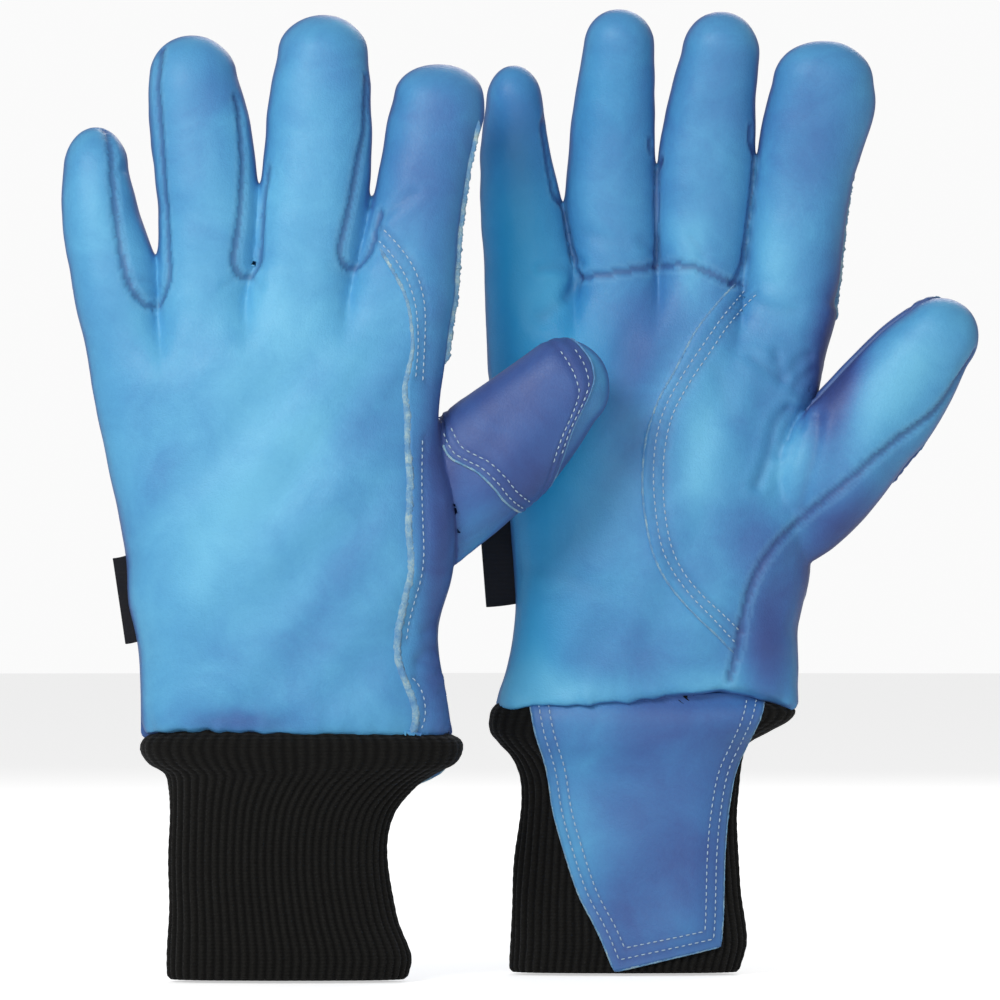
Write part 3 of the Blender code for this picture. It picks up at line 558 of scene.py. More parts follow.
def relief(skin):
    """Height of folds, seams and laid-over leather along the skin's normals, how worn each place is, and painted
    shade in the folds, seam grooves and stitch rows.
    """
    glove, p = skin.glove, skin.points
    faces = face_share(skin)
    hem = HEM[glove.side]
    in_hand = smoothstep(hem, hem + 20, p[:, 2]) * (1 - smoothstep(205, 235, p[:, 2]))
    height = 0.45 * waves(skin, 30, 1.0, 0, 3.1) + 0.10 * waves(skin, 7, 1.6, 20, 8.7)
    lean = 36 if glove.side == "left" else 24
    height += in_hand * (0.95 * waves(skin, 13, 3.6, lean, 5.2) * (0.35 + 0.65 * np.abs(faces)))
    height += 0.22 * waves(skin, 9, 2.4, 80, 1.3) * (1 - in_hand)
    above_hem = p[:, 2] - hem
    pucker = waves(skin, 5.5, 3.0, 0, 6.4)
    height += 0.75 * pucker * (1 - smoothstep(0, 13, above_hem))
    tuck = np.where(faces < 0, 1.7, -0.6) * np.exp(-np.maximum(above_hem, 0) / 2.6)
    height -= tuck
    worn = np.zeros(len(p))
    # Painted shade in the folds, seam grooves and stitch rows, later mixed into the leather's colour.
    crease_and_seam_shade = np.zeros(len(p))
    for face in (BACK, PALM):
        source = SOURCE[face]
        offset, within = lap_offset(glove, face, p)
        lap = within * smoothstep(0.1, 0.5, faces * face)
        height += 0.85 * smoothstep(-0.3, 0.5, offset) * (1 - smoothstep(9, 22, offset)) * lap
        for depth, half, points in FOLDS[face]:
            line, _ = skin.trace(face, adapt(points, source, glove))
            gap = skin.distance_to(line, 4 * half + 2)
            ease = 1.5 * half
            height += depth * (-0.95 * np.exp(-(gap / ease) ** 2) + 0.30 * np.exp(-((gap - 2.1 * ease) / ease) ** 2))
            # Painted shade in the fold.
            crease_and_seam_shade += 0.26 * depth * np.exp(-(gap / half) ** 2)
        for points in pocket_lines(glove, face):
            line, _ = skin.trace(face, points)
            gap = skin.distance_to(line, 6)
            height += -0.85 * np.exp(-(gap / 1.05) ** 2)
            # Painted shade in the seam's groove.
            crease_and_seam_shade += 0.62 * np.exp(-(gap / 0.85) ** 2)
            worn += 0.3 * np.exp(-((gap - 1.8) / 0.8) ** 2)
        for points in LAP_STITCHES[face]:
            line, _ = skin.trace(face, adapt(points, source, glove))
            gap = skin.distance_to(line, 5)
            height += -0.32 * np.exp(-(gap / 0.9) ** 2)
            # Painted shade along the stitch row.
            crease_and_seam_shade += 0.22 * np.exp(-(gap / 0.9) ** 2)
    for points, depth in ((base_line(glove), 0.6), (thumb_line(glove), 0.9)):
        line, _ = skin.trace(PALM, points)
        gap = skin.distance_to(line, 7)
        height += -depth * np.exp(-(gap / 1.0) ** 2)
        # Painted shade in the seam's groove.
        crease_and_seam_shade += 0.62 * np.exp(-(gap / 0.85) ** 2)
        worn += 0.3 * np.exp(-((gap - 1.8) / 0.8) ** 2)
    return height, np.clip(worn, 0, 1), np.clip(crease_and_seam_shade, 0, 1)


def pocket_lines(glove, face):
    """The side panels' seams on one face, fitted between this glove's own fingers."""
    if glove.side == SOURCE[face].side:
        return POCKET_SEAMS[face]
    lines = []
    fingers = glove.pattern["fingers"]
    for k in range(3):
        low, high = fingers[FINGERS[k]], fingers[FINGERS[k + 1]]
        x, z = glove.pattern["knuckles"][k + 1]
        down = [(float(smooth_value([(r[0], r[2]) for r in low[:-1]], h)) - 2.6, h)
                for h in np.linspace(low[-2][0], z + 8, 5)]
        up = [(float(smooth_value([(r[0], r[1]) for r in high[:-1]], h)) + 2.6, h)
              for h in np.linspace(z + 8, high[-2][0], 5)]
        lines.append(down + [(x, z - 1.2)] + up if face == BACK else down[:-1] + [(x - 1, z + 4), (x, z)])
    return lines


def base_line(glove):
    return adapt(BASE_SEAM, SOURCE[PALM], glove)


def thumb_place(source, target, points):
    """Points drawn on one glove's thumb, moved to the other's: same share along and across it."""
    if source.side == target.side:
        return points
    moved = []
    for x, z in points:
        offset = np.array((x, z)) - source.thumb_root
        s, a = offset @ source.thumb_axis, offset @ source.thumb_across
        (s1, s2), (h1, h2) = ((g.pattern["thumb"][-1], g.pattern["thumb"][2][2]) for g in (source, target))
        place = target.thumb_root + s * s2 / s1 * target.thumb_axis + a * h2 / h1 * target.thumb_across
        moved.append(tuple(place))
    return moved


def thumb_line(glove):
    """The thumb's seam on the palm side, from its tip down to the hem."""
    if glove.side == "right":
        return THUMB_SEAM
    on_thumb = thumb_place(SOURCE[PALM], glove, THUMB_SEAM[:8])
    return on_thumb[:-1] + adapt(THUMB_SEAM[9:], SOURCE[PALM], glove)


# Cutting the skin into pieces: the back, the palm and each digit.
WEB = 4.6


def above_knuckle(glove, name, points):
    """Height over the line where a finger's piece begins."""
    k = FINGERS.index(name)
    (xa, za), (xb, zb) = glove.pattern["knuckles"][k:k + 2]
    slope = (zb - za) / (xb - xa)
    return (points[..., 2] - za - WEB - slope * (points[..., 0] - xa)) / math.sqrt(1 + slope ** 2)


def gap_line(glove, k, z):
    """Middle of the gap between a finger and the next one towards the thumb."""
    near, far = (glove.pattern["fingers"][FINGERS[n]][:-1] for n in (k, k + 1))
    level = np.clip(z, max(near[0][0], far[0][0]), min(near[-1][0], far[-1][0]))
    return (smooth_value([(r[0], r[2]) for r in near], level) + smooth_value([(r[0], r[1]) for r in far], level)) / 2


def in_line(glove, name, points):
    """Whether points lie between the gaps on each side of a digit."""
    if name == "thumb":
        return (points[..., [0, 2]] - glove.thumb_root) @ glove.thumb_across < 23
    k, x, z = FINGERS.index(name), points[..., 0], points[..., 2]
    after = True if k == 0 else x > gap_line(glove, k - 1, z)
    before = True if k == 3 else x <= gap_line(glove, k, z)
    return after & before


def above_thumb(glove, points):
    offset = points[..., [0, 2]] - glove.thumb_root
    return offset @ glove.thumb_axis - THUMB_CUT[glove.side]


THUMB_CUT = {"left": 18.5, "right": 25.0}
PALM_LABEL = 6


def connected(quads, chosen, first, count):
    """The chosen faces joined to the face nearest a first vertex through shared corners."""
    faces = quads[chosen]
    inside = np.zeros(count, bool)
    inside[first] = True
    while True:
        touched = inside[faces].any(axis=1)
        before = inside.sum()
        inside[faces[touched].ravel()] = True
        if inside.sum() == before:
            return chosen[touched]


def cut_digits(skin):
    """The piece that each face of the skin belongs to: 0 the back, 1 to 5 the digits, 6 the palm."""
    glove, quads = skin.glove, skin.quads
    centres = skin.points[quads].mean(axis=1)
    labels = np.zeros(len(quads), int)
    for number, name in enumerate((*FINGERS, "thumb"), start=1):
        over = (lambda p, n=name: above_thumb(glove, p) if n == "thumb" else above_knuckle(glove, n, p))
        chosen = np.nonzero((over(centres) > 0) & in_line(glove, name, centres) & (labels == 0))[0]
        if name == "thumb":
            x, z = glove.pattern["thumb_tip"]
        else:
            k = FINGERS.index(name)
            rows = glove.pattern["fingers"][name]
            x, z = (rows[-2][1] + rows[-2][2]) / 2, rows[-1]
        first = int(np.argmin(((skin.points[:, [0, 2]] - (x, z)) ** 2).sum(axis=1)))
        found = connected(quads, chosen, first, len(skin.points))
        labels[found] = number
        inside = np.zeros(len(skin.points), bool)
        inside[quads[found].ravel()] = True
        outside = np.zeros(len(skin.points), bool)
        outside[quads[np.setdiff1d(np.arange(len(quads)), found)].ravel()] = True
        rim = np.nonzero(inside & outside)[0]
        rim = rim[np.abs(over(skin.points[rim])) < 1.5]
        moved = skin.points[rim]
        gap = over(moved)
        if name == "thumb":
            flat = glove.thumb_axis
            lift = np.array((flat[0], 0, flat[1]))
        else:
            (xa, za), (xb, zb) = glove.pattern["knuckles"][k:k + 2]
            lift = np.array((za - zb, 0, xb - xa)) / math.hypot(zb - za, xb - xa)
        skin.points[rim] = moved - gap[:, None] * lift
    labels[(labels == 0) & (centres[:, 1] > 0)] = PALM_LABEL
    sides = [np.isin(np.arange(len(skin.points)), quads[labels == label]) for label in (0, PALM_LABEL)]
    skin.points[sides[0] & sides[1], 1] = 0.0
    return labels


def digit_at(glove, point):
    """The digit that a place belongs to, or None for the hand."""
    p = np.array(point)
    if above_thumb(glove, p) > 0 and in_line(glove, "thumb", p):
        return "thumb"
    for name in FINGERS:
        if above_knuckle(glove, name, p) > 0 and in_line(glove, name, p):
            return name
    return None


# Where the bend of a digit would start and end, in millimetres past its cut line.
BEND = (1.0, 40.0)


def attach(piece, glove, digit):
    """Rides on the hand; a digit's piece only has its transform baked in, and the start and end of its bend are
    worked out but not used.
    """
    hand = f"{glove.side}_hand"
    if digit is None:
        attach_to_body(piece, hand)
        return
    if digit == "thumb":
        starts = [glove.thumb_root + (THUMB_CUT[glove.side] + s) * glove.thumb_axis for s in BEND]
    else:
        k = FINGERS.index(digit)
        (xa, za), (xb, zb) = glove.pattern["knuckles"][k:k + 2]
        rows = glove.pattern["fingers"][digit]
        base = np.array(((xa + xb) / 2, (za + zb) / 2))
        tip = np.array(((rows[-2][1] + rows[-2][2]) / 2, rows[-1]))
        along_it = (tip - base) / np.linalg.norm(tip - base)
        starts = [base + (WEB + s) * along_it for s in BEND]
    start, end = (tuple(glove.world((p[0], 0.0, p[1]))) for p in starts)
    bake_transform(piece)


SOURCE = {BACK: Glove("left"), PALM: Glove("right")}


# Finishes.

def new_group(name, inputs, outputs):
    """Shader node group with float, colour and vector sockets, given as (name, kind, default)."""
    group = bpy.data.node_groups.new(name, "ShaderNodeTree")
    kinds = {"value": "NodeSocketFloat", "colour": "NodeSocketColor", "vector": "NodeSocketVector"}
    for label, kind, default in inputs:
        made = group.interface.new_socket(label, in_out="INPUT", socket_type=kinds[kind])
        made.default_value = default
    for label, kind in outputs:
        group.interface.new_socket(label, in_out="OUTPUT", socket_type=kinds[kind])
    return group, group.nodes.new("NodeGroupInput"), group.nodes.new("NodeGroupOutput")


def node(tree, kind, settings=None, **inputs):
    """A node with its settings, and its inputs given as values or as sockets to link from."""
    made = tree.nodes.new(kind)
    for key, value in (settings or {}).items():
        setattr(made, key, value)
    for key, value in inputs.items():
        socket = made.inputs[int(key[1:])] if key[0] == "i" and key[1:].isdigit() else made.inputs[key.replace("_", " ")]
        if isinstance(value, bpy.types.NodeSocket):
            tree.links.new(value, socket)
        else:
            socket.default_value = value
    return made


def ramp(tree, value, stops):
    made = node(tree, "ShaderNodeValToRGB", Fac=value)
    made.color_ramp.interpolation = "B_SPLINE" if len(stops) > 3 else "LINEAR"
    while len(made.color_ramp.elements) < len(stops):
        made.color_ramp.elements.new(0.5)
    for element, (position, colour) in zip(made.color_ramp.elements, stops):
        element.position = position
        element.color = (*colour, 1.0)
    return made.outputs["Color"]


def maths(tree, operation, a, b=0.0, c=0.0):
    return node(tree, "ShaderNodeMath", {"operation": operation}, i0=a, i1=b, i2=c).outputs[0]


def noise_at(tree, place, scale, detail=3.0, roughness=0.55, distortion=0.0):
    return node(tree, "ShaderNodeTexNoise", Vector=place, Scale=scale, Detail=detail,
                Roughness=roughness, Distortion=distortion).outputs["Fac"]


def mottle_group():
    """Uneven dye: soft clouds and a fine speckle, each about zero."""
    group, given, out = new_group("dye_mottle", [("Place", "vector", (0, 0, 0)), ("Clouds", "value", 1.0),
                                                 ("Speckle", "value", 1.0)], [("Shift", "value")])
    place = given.outputs["Place"]
    clouds = maths(group, "SUBTRACT", noise_at(group, place, 42.0, 4.0, 0.6, 0.6), 0.5)
    speckle = maths(group, "SUBTRACT", noise_at(group, place, 950.0, 2.0, 0.7), 0.5)
    part = maths(group, "MULTIPLY", clouds, given.outputs["Clouds"])
    total = maths(group, "MULTIPLY_ADD", speckle, given.outputs["Speckle"], part)
    group.links.new(total, out.inputs["Shift"])
    return group


def grain_group():
    """Leather grain: small rounded cells split by fine creases, with soft waviness under them."""
    group, given, out = new_group("leather_grain", [("Place", "vector", (0, 0, 0)), ("Cell scale", "value", 900.0)],
                                  [("Height", "value"), ("Creases", "value")])
    place = given.outputs["Place"]
    bend = node(group, "ShaderNodeTexNoise", Vector=place, Scale=380.0, Detail=2.0)
    moved = node(group, "ShaderNodeMix", {"data_type": "VECTOR"}, i0=0.0012, i4=place, i5=bend.outputs["Color"])
    cells = node(group, "ShaderNodeTexVoronoi", {"feature": "DISTANCE_TO_EDGE"}, Vector=moved.outputs[1],
                 Scale=given.outputs["Cell scale"])
    crease = node(group, "ShaderNodeMapRange", i0=cells.outputs["Distance"], i1=0.0, i2=0.16)
    soft = noise_at(group, place, 260.0, 4.0, 0.6)
    total = maths(group, "MULTIPLY_ADD", crease.outputs[0], 0.45, soft)
    group.links.new(total, out.inputs["Height"])
    group.links.new(crease.outputs[0], out.inputs["Creases"])
    return group


def fuzz_group():
    """Short raised fibres, as on cut leather, fleece and wool yarn."""
    group, given, out = new_group("fibre_fuzz", [("Place", "vector", (0, 0, 0)), ("Scale", "value", 900.0)],
                                  [("Height", "value"), ("Fibres", "value")])
    coarse = noise_at(group, given.outputs["Place"], given.outputs["Scale"], 5.0, 0.7, 1.6)
    sharp = node(group, "ShaderNodeMapRange", i0=coarse, i1=0.32, i2=0.68)
    group.links.new(coarse, out.inputs["Height"])
    group.links.new(sharp.outputs[0], out.inputs["Fibres"])
    return group


def use(tree, group, **inputs):
    made = tree.nodes.new("ShaderNodeGroup")
    made.node_tree = group
    for key, value in inputs.items():
        socket = made.inputs[key.replace("_", " ")]
        if isinstance(value, bpy.types.NodeSocket):
            tree.links.new(value, socket)
        else:
            socket.default_value = value
    return made


def attribute(tree, name):
    return node(tree, "ShaderNodeAttribute", {"attribute_name": name}).outputs["Fac"]


def start_material(name, roughness, specular=0.5, sheen=0.0, sheen_tint=(1, 1, 1)):
    made = bpy.data.materials.new(name)
    made.use_nodes = True
    tree = made.node_tree
    shader = tree.nodes["Principled BSDF"]
    shader.inputs["Roughness"].default_value = roughness
    shader.inputs["Specular IOR Level"].default_value = specular
    shader.inputs["Sheen Weight"].default_value = sheen
    shader.inputs["Sheen Roughness"].default_value = 0.4
    shader.inputs["Sheen Tint"].default_value = (*sheen_tint, 1.0)
    place = tree.nodes.new("ShaderNodeTexCoord").outputs["Object"]
    return made, tree, shader, place


def bump(tree, shader, height, strength, distance):
    made = node(tree, "ShaderNodeBump", Height=height, Strength=strength, Distance=distance)
    tree.links.new(made.outputs["Normal"], shader.inputs["Normal"])


LEATHER_RAMP = [(0.0, (0.036, 0.055, 0.20)), (0.25, (0.050, 0.105, 0.34)), (0.50, (0.058, 0.205, 0.49)),
                (0.75, (0.082, 0.365, 0.66)), (1.0, (0.17, 0.55, 0.80))]
CYAN_DYE = (0.006, 0.37, 0.69, 1.0)
# Colour of the painted shade in the folds, seam grooves and stitch rows.
PAINTED_CREASE_SHADE = (0.035, 0.045, 0.19, 1.0)


def leather_finish(groups):
    """Dyed smooth leather: tone (partly uneven dye, partly painted light and shade), cyan cast, painted shade in the
    folds, seam grooves and stitch rows, and rubbed ridges come from the pieces.
    """
    made, tree, shader, place = start_material("blue_smooth_leather", 0.46, 0.42, 0.06, (0.7, 0.9, 1.0))
    mottle = use(tree, groups["mottle"], Place=place, Clouds=0.42, Speckle=0.10)
    tone = maths(tree, "ADD", attribute(tree, "tone"), mottle.outputs["Shift"])
    dye = ramp(tree, tone, LEATHER_RAMP)
    mixed = node(tree, "ShaderNodeMix", {"data_type": "RGBA"}, i0=attribute(tree, "cyan"), i6=dye, i7=CYAN_DYE)
    rubbed = node(tree, "ShaderNodeMix", {"data_type": "RGBA"},
                  i0=maths(tree, "MULTIPLY", attribute(tree, "worn"), 0.35), i6=mixed.outputs[2],
                  i7=(0.28, 0.58, 0.80, 1.0))
    # Painted shade darkens the colour in the folds, seam grooves and stitch rows.
    creased = node(tree, "ShaderNodeMix", {"data_type": "RGBA"},
                   i0=maths(tree, "MULTIPLY", attribute(tree, "crease_and_seam_shade"), 0.8), i6=rubbed.outputs[2], i7=PAINTED_CREASE_SHADE)
    tree.links.new(creased.outputs[2], shader.inputs["Base Color"])
    grain = use(tree, groups["grain"], Place=place, Cell_scale=820.0)
    gloss = node(tree, "ShaderNodeMapRange", i0=noise_at(tree, place, 120.0, 3.0), i3=0.40, i4=0.54)
    rough = maths(tree, "MULTIPLY_ADD", attribute(tree, "worn"), 0.08, gloss.outputs[0])
    tree.links.new(rough, shader.inputs["Roughness"])
    bump(tree, shader, grain.outputs["Height"], 0.22, 0.0004)
    return made


def raw_edge_finish(groups):
    """Cut edge of the hide: pale fibres with dyed ones among them."""
    made, tree, shader, place = start_material("raw_hide_edge", 0.92, 0.2, 0.25)
    fuzz = use(tree, groups["fuzz"], Place=place, Scale=620.0)
    patches = noise_at(tree, place, 170.0, 4.0, 0.7)
    tint = maths(tree, "MULTIPLY_ADD", fuzz.outputs["Fibres"], 0.45, maths(tree, "MULTIPLY", patches, 0.75))
    colour = ramp(tree, maths(tree, "MULTIPLY", tint, attribute(tree, "pale")),
                  [(0.0, (0.06, 0.20, 0.50)), (0.35, (0.15, 0.36, 0.60)), (0.62, (0.36, 0.55, 0.62)),
                   (1.0, (0.66, 0.74, 0.66))])
    tree.links.new(colour, shader.inputs["Base Color"])
    bump(tree, shader, fuzz.outputs["Height"], 0.8, 0.0006)
    return made


def thread_finish(groups):
    """Pale sewing thread with a twist."""
    made, tree, shader, place = start_material("pale_sewing_thread", 0.62, 0.35, 0.15)
    fuzz = use(tree, groups["fuzz"], Place=place, Scale=1500.0)
    colour = ramp(tree, fuzz.outputs["Fibres"], [(0.0, (0.26, 0.44, 0.60)), (1.0, (0.62, 0.74, 0.82))])
    tree.links.new(colour, shader.inputs["Base Color"])
    bump(tree, shader, fuzz.outputs["Height"], 0.5, 0.0003)
    return made


def knit_finish(groups):
    """Black ribbed wool: yarn loops along each rib, with painted shade in the channels between them."""
    made, tree, shader, place = start_material("black_ribbed_knit", 0.95, 0.16, 0.12, (0.6, 0.6, 0.62))
    fuzz = use(tree, groups["fuzz"], Place=place, Scale=700.0)
    loops = node(tree, "ShaderNodeTexWave", {"bands_direction": "Z"}, Vector=place, Scale=250.0, Distortion=2.2,
                 Detail=2.0, i4=1.6)
    # Painted shade: the rib mark darkens the channels between the ribs; the fibres add real variation.
    light = maths(tree, "MULTIPLY", attribute(tree, "rib"),
                  maths(tree, "MULTIPLY_ADD", fuzz.outputs["Fibres"], 0.6, 0.4))
    colour = ramp(tree, light, [(0.0, (0.0022, 0.0021, 0.0020)), (1.0, (0.016, 0.0155, 0.014))])
    tree.links.new(colour, shader.inputs["Base Color"])
    height = maths(tree, "MULTIPLY_ADD", loops.outputs["Fac"], 0.5, fuzz.outputs["Height"])
    bump(tree, shader, height, 0.7, 0.0006)
    return made


def fleece_finish(groups):
    made, tree, shader, place = start_material("warm_fleece", 0.97, 0.15, 0.3)
    fuzz = use(tree, groups["fuzz"], Place=place, Scale=420.0)
    colour = ramp(tree, fuzz.outputs["Fibres"], [(0.0, (0.50, 0.49, 0.45)), (1.0, (0.80, 0.79, 0.75))])
    tree.links.new(colour, shader.inputs["Base Color"])
    bump(tree, shader, fuzz.outputs["Height"], 1.0, 0.001)
    return made


def tab_finish(groups):
    """Black woven ribbon."""
    made, tree, shader, place = start_material("black_woven_ribbon", 0.72, 0.3, 0.1)
    warp = node(tree, "ShaderNodeTexWave", {"bands_direction": "X"}, Vector=place, Scale=900.0)
    weft = node(tree, "ShaderNodeTexWave", {"bands_direction": "Z"}, Vector=place, Scale=700.0)
    weave = maths(tree, "MULTIPLY", warp.outputs["Fac"], weft.outputs["Fac"])
    colour = ramp(tree, weave, [(0.0, (0.004, 0.004, 0.006)), (1.0, (0.022, 0.022, 0.030))])
    tree.links.new(colour, shader.inputs["Base Color"])
    bump(tree, shader, weave, 0.5, 0.0003)
    return made


def make_finishes():
    groups = {"mottle": mottle_group(), "grain": grain_group(), "fuzz": fuzz_group()}
    return {"leather": leather_finish(groups), "edge": raw_edge_finish(groups), "thread": thread_finish(groups),
            "knit": knit_finish(groups), "fleece": fleece_finish(groups), "tab": tab_finish(groups)}


FINISHES = make_finishes()


# Pieces.

def make_piece(glove, name, points, faces, finish, digit=None, marks=None, normals=None, replaced=()):
    """Object from points in glove millimetres, with its finish; a piece of the hand rides on the hand's body."""
    mesh = bpy.data.meshes.new(name)
    mesh.from_pydata(glove.world(points).tolist(), [], faces)
    if glove.palm < 0:
        mesh.flip_normals()
    mesh.materials.append(FINISHES[finish])
    mesh.shade_smooth()
    for label, values in (marks or {}).items():
        layer = mesh.attributes.new(label, "FLOAT", "POINT")
        layer.data.foreach_set("value", np.asarray(values, np.float32))
    if normals is not None:
        world = normals * (1, glove.palm, 1)
        mesh.normals_split_custom_set_from_vertices(world.tolist())
    piece = bpy.data.objects.new(name, mesh)
    bpy.context.scene.collection.objects.link(piece)
    if replaced:
        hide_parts(*[f"{glove.side}_{n}" for n in replaced])
    attach(piece, glove, digit)
    return piece


def wall_of(skin, chosen, thickness):
    """Closed wall from chosen faces: an outer and an inner layer, joined round the open edges."""
    quads = skin.quads[chosen]
    used, packed = np.unique(quads, return_inverse=True)
    quads = packed.reshape(quads.shape)
    outer = skin.points[used]
    inner = outer - skin.normals[used] * thickness
    count = len(used)
    edges = np.concatenate([quads[:, [k, (k + 1) % 4]] for k in range(4)])
    forward = edges[:, 0] * count + edges[:, 1]
    backward = edges[:, 1] * count + edges[:, 0]
    rim = edges[~np.isin(forward, backward)]
    sides = np.stack((rim[:, 1], rim[:, 0], rim[:, 0] + count, rim[:, 1] + count), axis=-1)
    faces = np.concatenate((quads, quads[:, ::-1] + count, sides))
    normals = np.concatenate((skin.normals[used], -skin.normals[used]))
    return used, np.concatenate((outer, inner)), faces, normals


PIECES = ((0, "back", None), (1, "little", "little"), (2, "ring", "ring"), (3, "middle", "middle"),
          (4, "index", "index"), (5, "thumb", "thumb"), (PALM_LABEL, "palm", None))
PIECE_NODES = {
    "back": ("back_panel", "back_wing"),
    "palm": ("palm_panel", "palm_wing"),
    "little": ("little_back", "little_palm", "little_wall_thumb_side"),
    "ring": ("ring_back", "ring_palm", "ring_wall_thumb_side", "ring_wall_outer_side"),
    "middle": ("middle_back", "middle_palm", "middle_wall_thumb_side", "middle_wall_outer_side"),
    "index": ("index_back", "index_palm", "index_wall_outer_side"),
    "thumb": ("thumb_back", "thumb_palm"),
}


def leather_tone(skin, face_of):
    """Tone and cyan cast at each point: soft zones over each face, partly uneven dye and partly painted light and
    shade, and painted shade along the sides, where the surface turns away from the front.
    """
    glove = skin.glove
    tone = np.full(len(skin.points), 0.68)
    # Painted shade along the sides, where the surface turns away from the front.
    tone -= 0.42 * smoothstep(0.10, 0.95, 1 - np.abs(face_of))
    cyan = np.zeros(len(skin.points))
    for face in (BACK, PALM):
        visible = smoothstep(-0.2, 0.5, face_of * face)
        marks = TONE.get((glove.side, face)) or TONE[(SOURCE[face].side, face)]
        strength = 1.0 if (glove.side, face) in TONE else 0.5
        tone += strength * visible * blobs(skin, marks)
        cyan += visible * blobs(skin, CYAN.get((glove.side, face), []))
    return tone, np.clip(cyan, 0, 1)


def build_leather(skin):
    """The hand, fingers and thumb, each its own closed piece of leather."""
    glove = skin.glove
    height, worn, crease_and_seam_shade = relief(skin)
    tone, cyan = leather_tone(skin, face_share(skin))
    labels = cut_digits(skin)
    skin.points += skin.normals * height[:, None]
    skin.refresh()
    marks = {"tone": tone, "cyan": cyan, "worn": worn, "crease_and_seam_shade": crease_and_seam_shade}
    for number, label, digit in PIECES:
        used, points, faces, normals = wall_of(skin, np.nonzero(labels == number)[0], LEATHER)
        make_piece(glove, f"{glove.side}_{label}_leather", points, faces.tolist(), "leather", digit,
                   {k: np.tile(v[used], 2) for k, v in marks.items()}, normals, PIECE_NODES[label])


def build_fleece(glove):
    """The warm lining, inside every piece of leather."""
    skin = Skin(glove, FLEECE_VOXEL, LEATHER + 3.2)
    labels = cut_digits(skin)
    labels[labels == PALM_LABEL] = 0
    for number, digit in enumerate((None, *FINGERS, "thumb")):
        _, points, faces, normals = wall_of(skin, np.nonzero(labels == number)[0], 2.0)
        make_piece(glove, f"{glove.side}_{digit or 'hand'}_fleece", points, faces.tolist(), "fleece", digit,
                   None, normals, (f"{digit or 'hand'}_liner",))


def by_digit(glove, items):
    """Groups things by the digit their first point lies on."""
    groups = {}
    for item in items:
        groups.setdefault(digit_at(glove, item[0]), []).append(item)
    return groups


STITCH_RINGS = [(-1.0, 0.0, -0.30), (-0.72, 0.8, -0.02), (-0.25, 1.0, 0.20), (0.25, 1.0, 0.20), (0.72, 0.8, -0.02),
                (1.0, 0.0, -0.30)]


def stitch_row(line, normals, pitch=2.35, length=1.55):
    """Places of the stitches along a line on the leather: (middle, direction, normal, half length)."""
    run = np.concatenate(([0.0], np.cumsum(np.linalg.norm(np.diff(line, axis=0), axis=1))))
    count = max(1, int(round(run[-1] / pitch)))
    places = []
    for k in range(count):
        at = (k + 0.5) * run[-1] / count
        middle = np.array([np.interp(at, run, line[:, j]) for j in range(3)])
        ends = [np.array([np.interp(at + e, run, line[:, j]) for j in range(3)]) for e in (-0.8, 0.8)]
        normal = np.array([np.interp(at, run, normals[:, j]) for j in range(3)])
        direction = ends[1] - ends[0]
        if np.linalg.norm(direction) < 1e-6:
            continue
        swing = noise.noise(Vector(middle) * 0.9)
        direction = direction / np.linalg.norm(direction)
        side = np.cross(normal, direction)
        direction = direction + 0.16 * swing * side
        places.append((middle, direction / np.linalg.norm(direction), normal / np.linalg.norm(normal),
                       length * (0.5 + 0.07 * swing)))
    return places


def build_stitches(glove, name, places, radius=0.22):
    """Stitches as short rounded strands, each end dipping into the leather."""
    for digit, group in by_digit(glove, places).items():
        points, faces = [], []
        for middle, direction, normal, half in group:
            side = np.cross(normal, direction)
            first = len(points)
            for t, width, lift in STITCH_RINGS:
                centre = middle + direction * (t * half) + normal * (0.06 + lift * 0.55)
                for a in range(6):
                    turn = a * math.pi / 3
                    points.append(centre + radius * max(width, 0.06) * (side * math.cos(turn) + normal * math.sin(turn)))
            for ring in range(5):
                for a in range(6):
                    b = (a + 1) % 6
                    low, high = first + ring * 6, first + ring * 6 + 6
                    faces.append((low + a, low + b, high + b, high + a))
            faces.append(tuple(first + 5 - a for a in range(6)))
            faces.append(tuple(first + 30 + a for a in range(6)))
        make_piece(glove, f"{glove.side}_{name}_{digit or 'hand'}_stitches", np.array(points), faces, "thread", digit)


EDGE_PROFILE = [(-1.0, -0.35), (-0.9, 0.25), (-0.45, 0.75), (0.0, 0.9), (0.45, 0.7), (0.9, 0.2), (1.0, -0.35),
                (0.0, -0.6)]


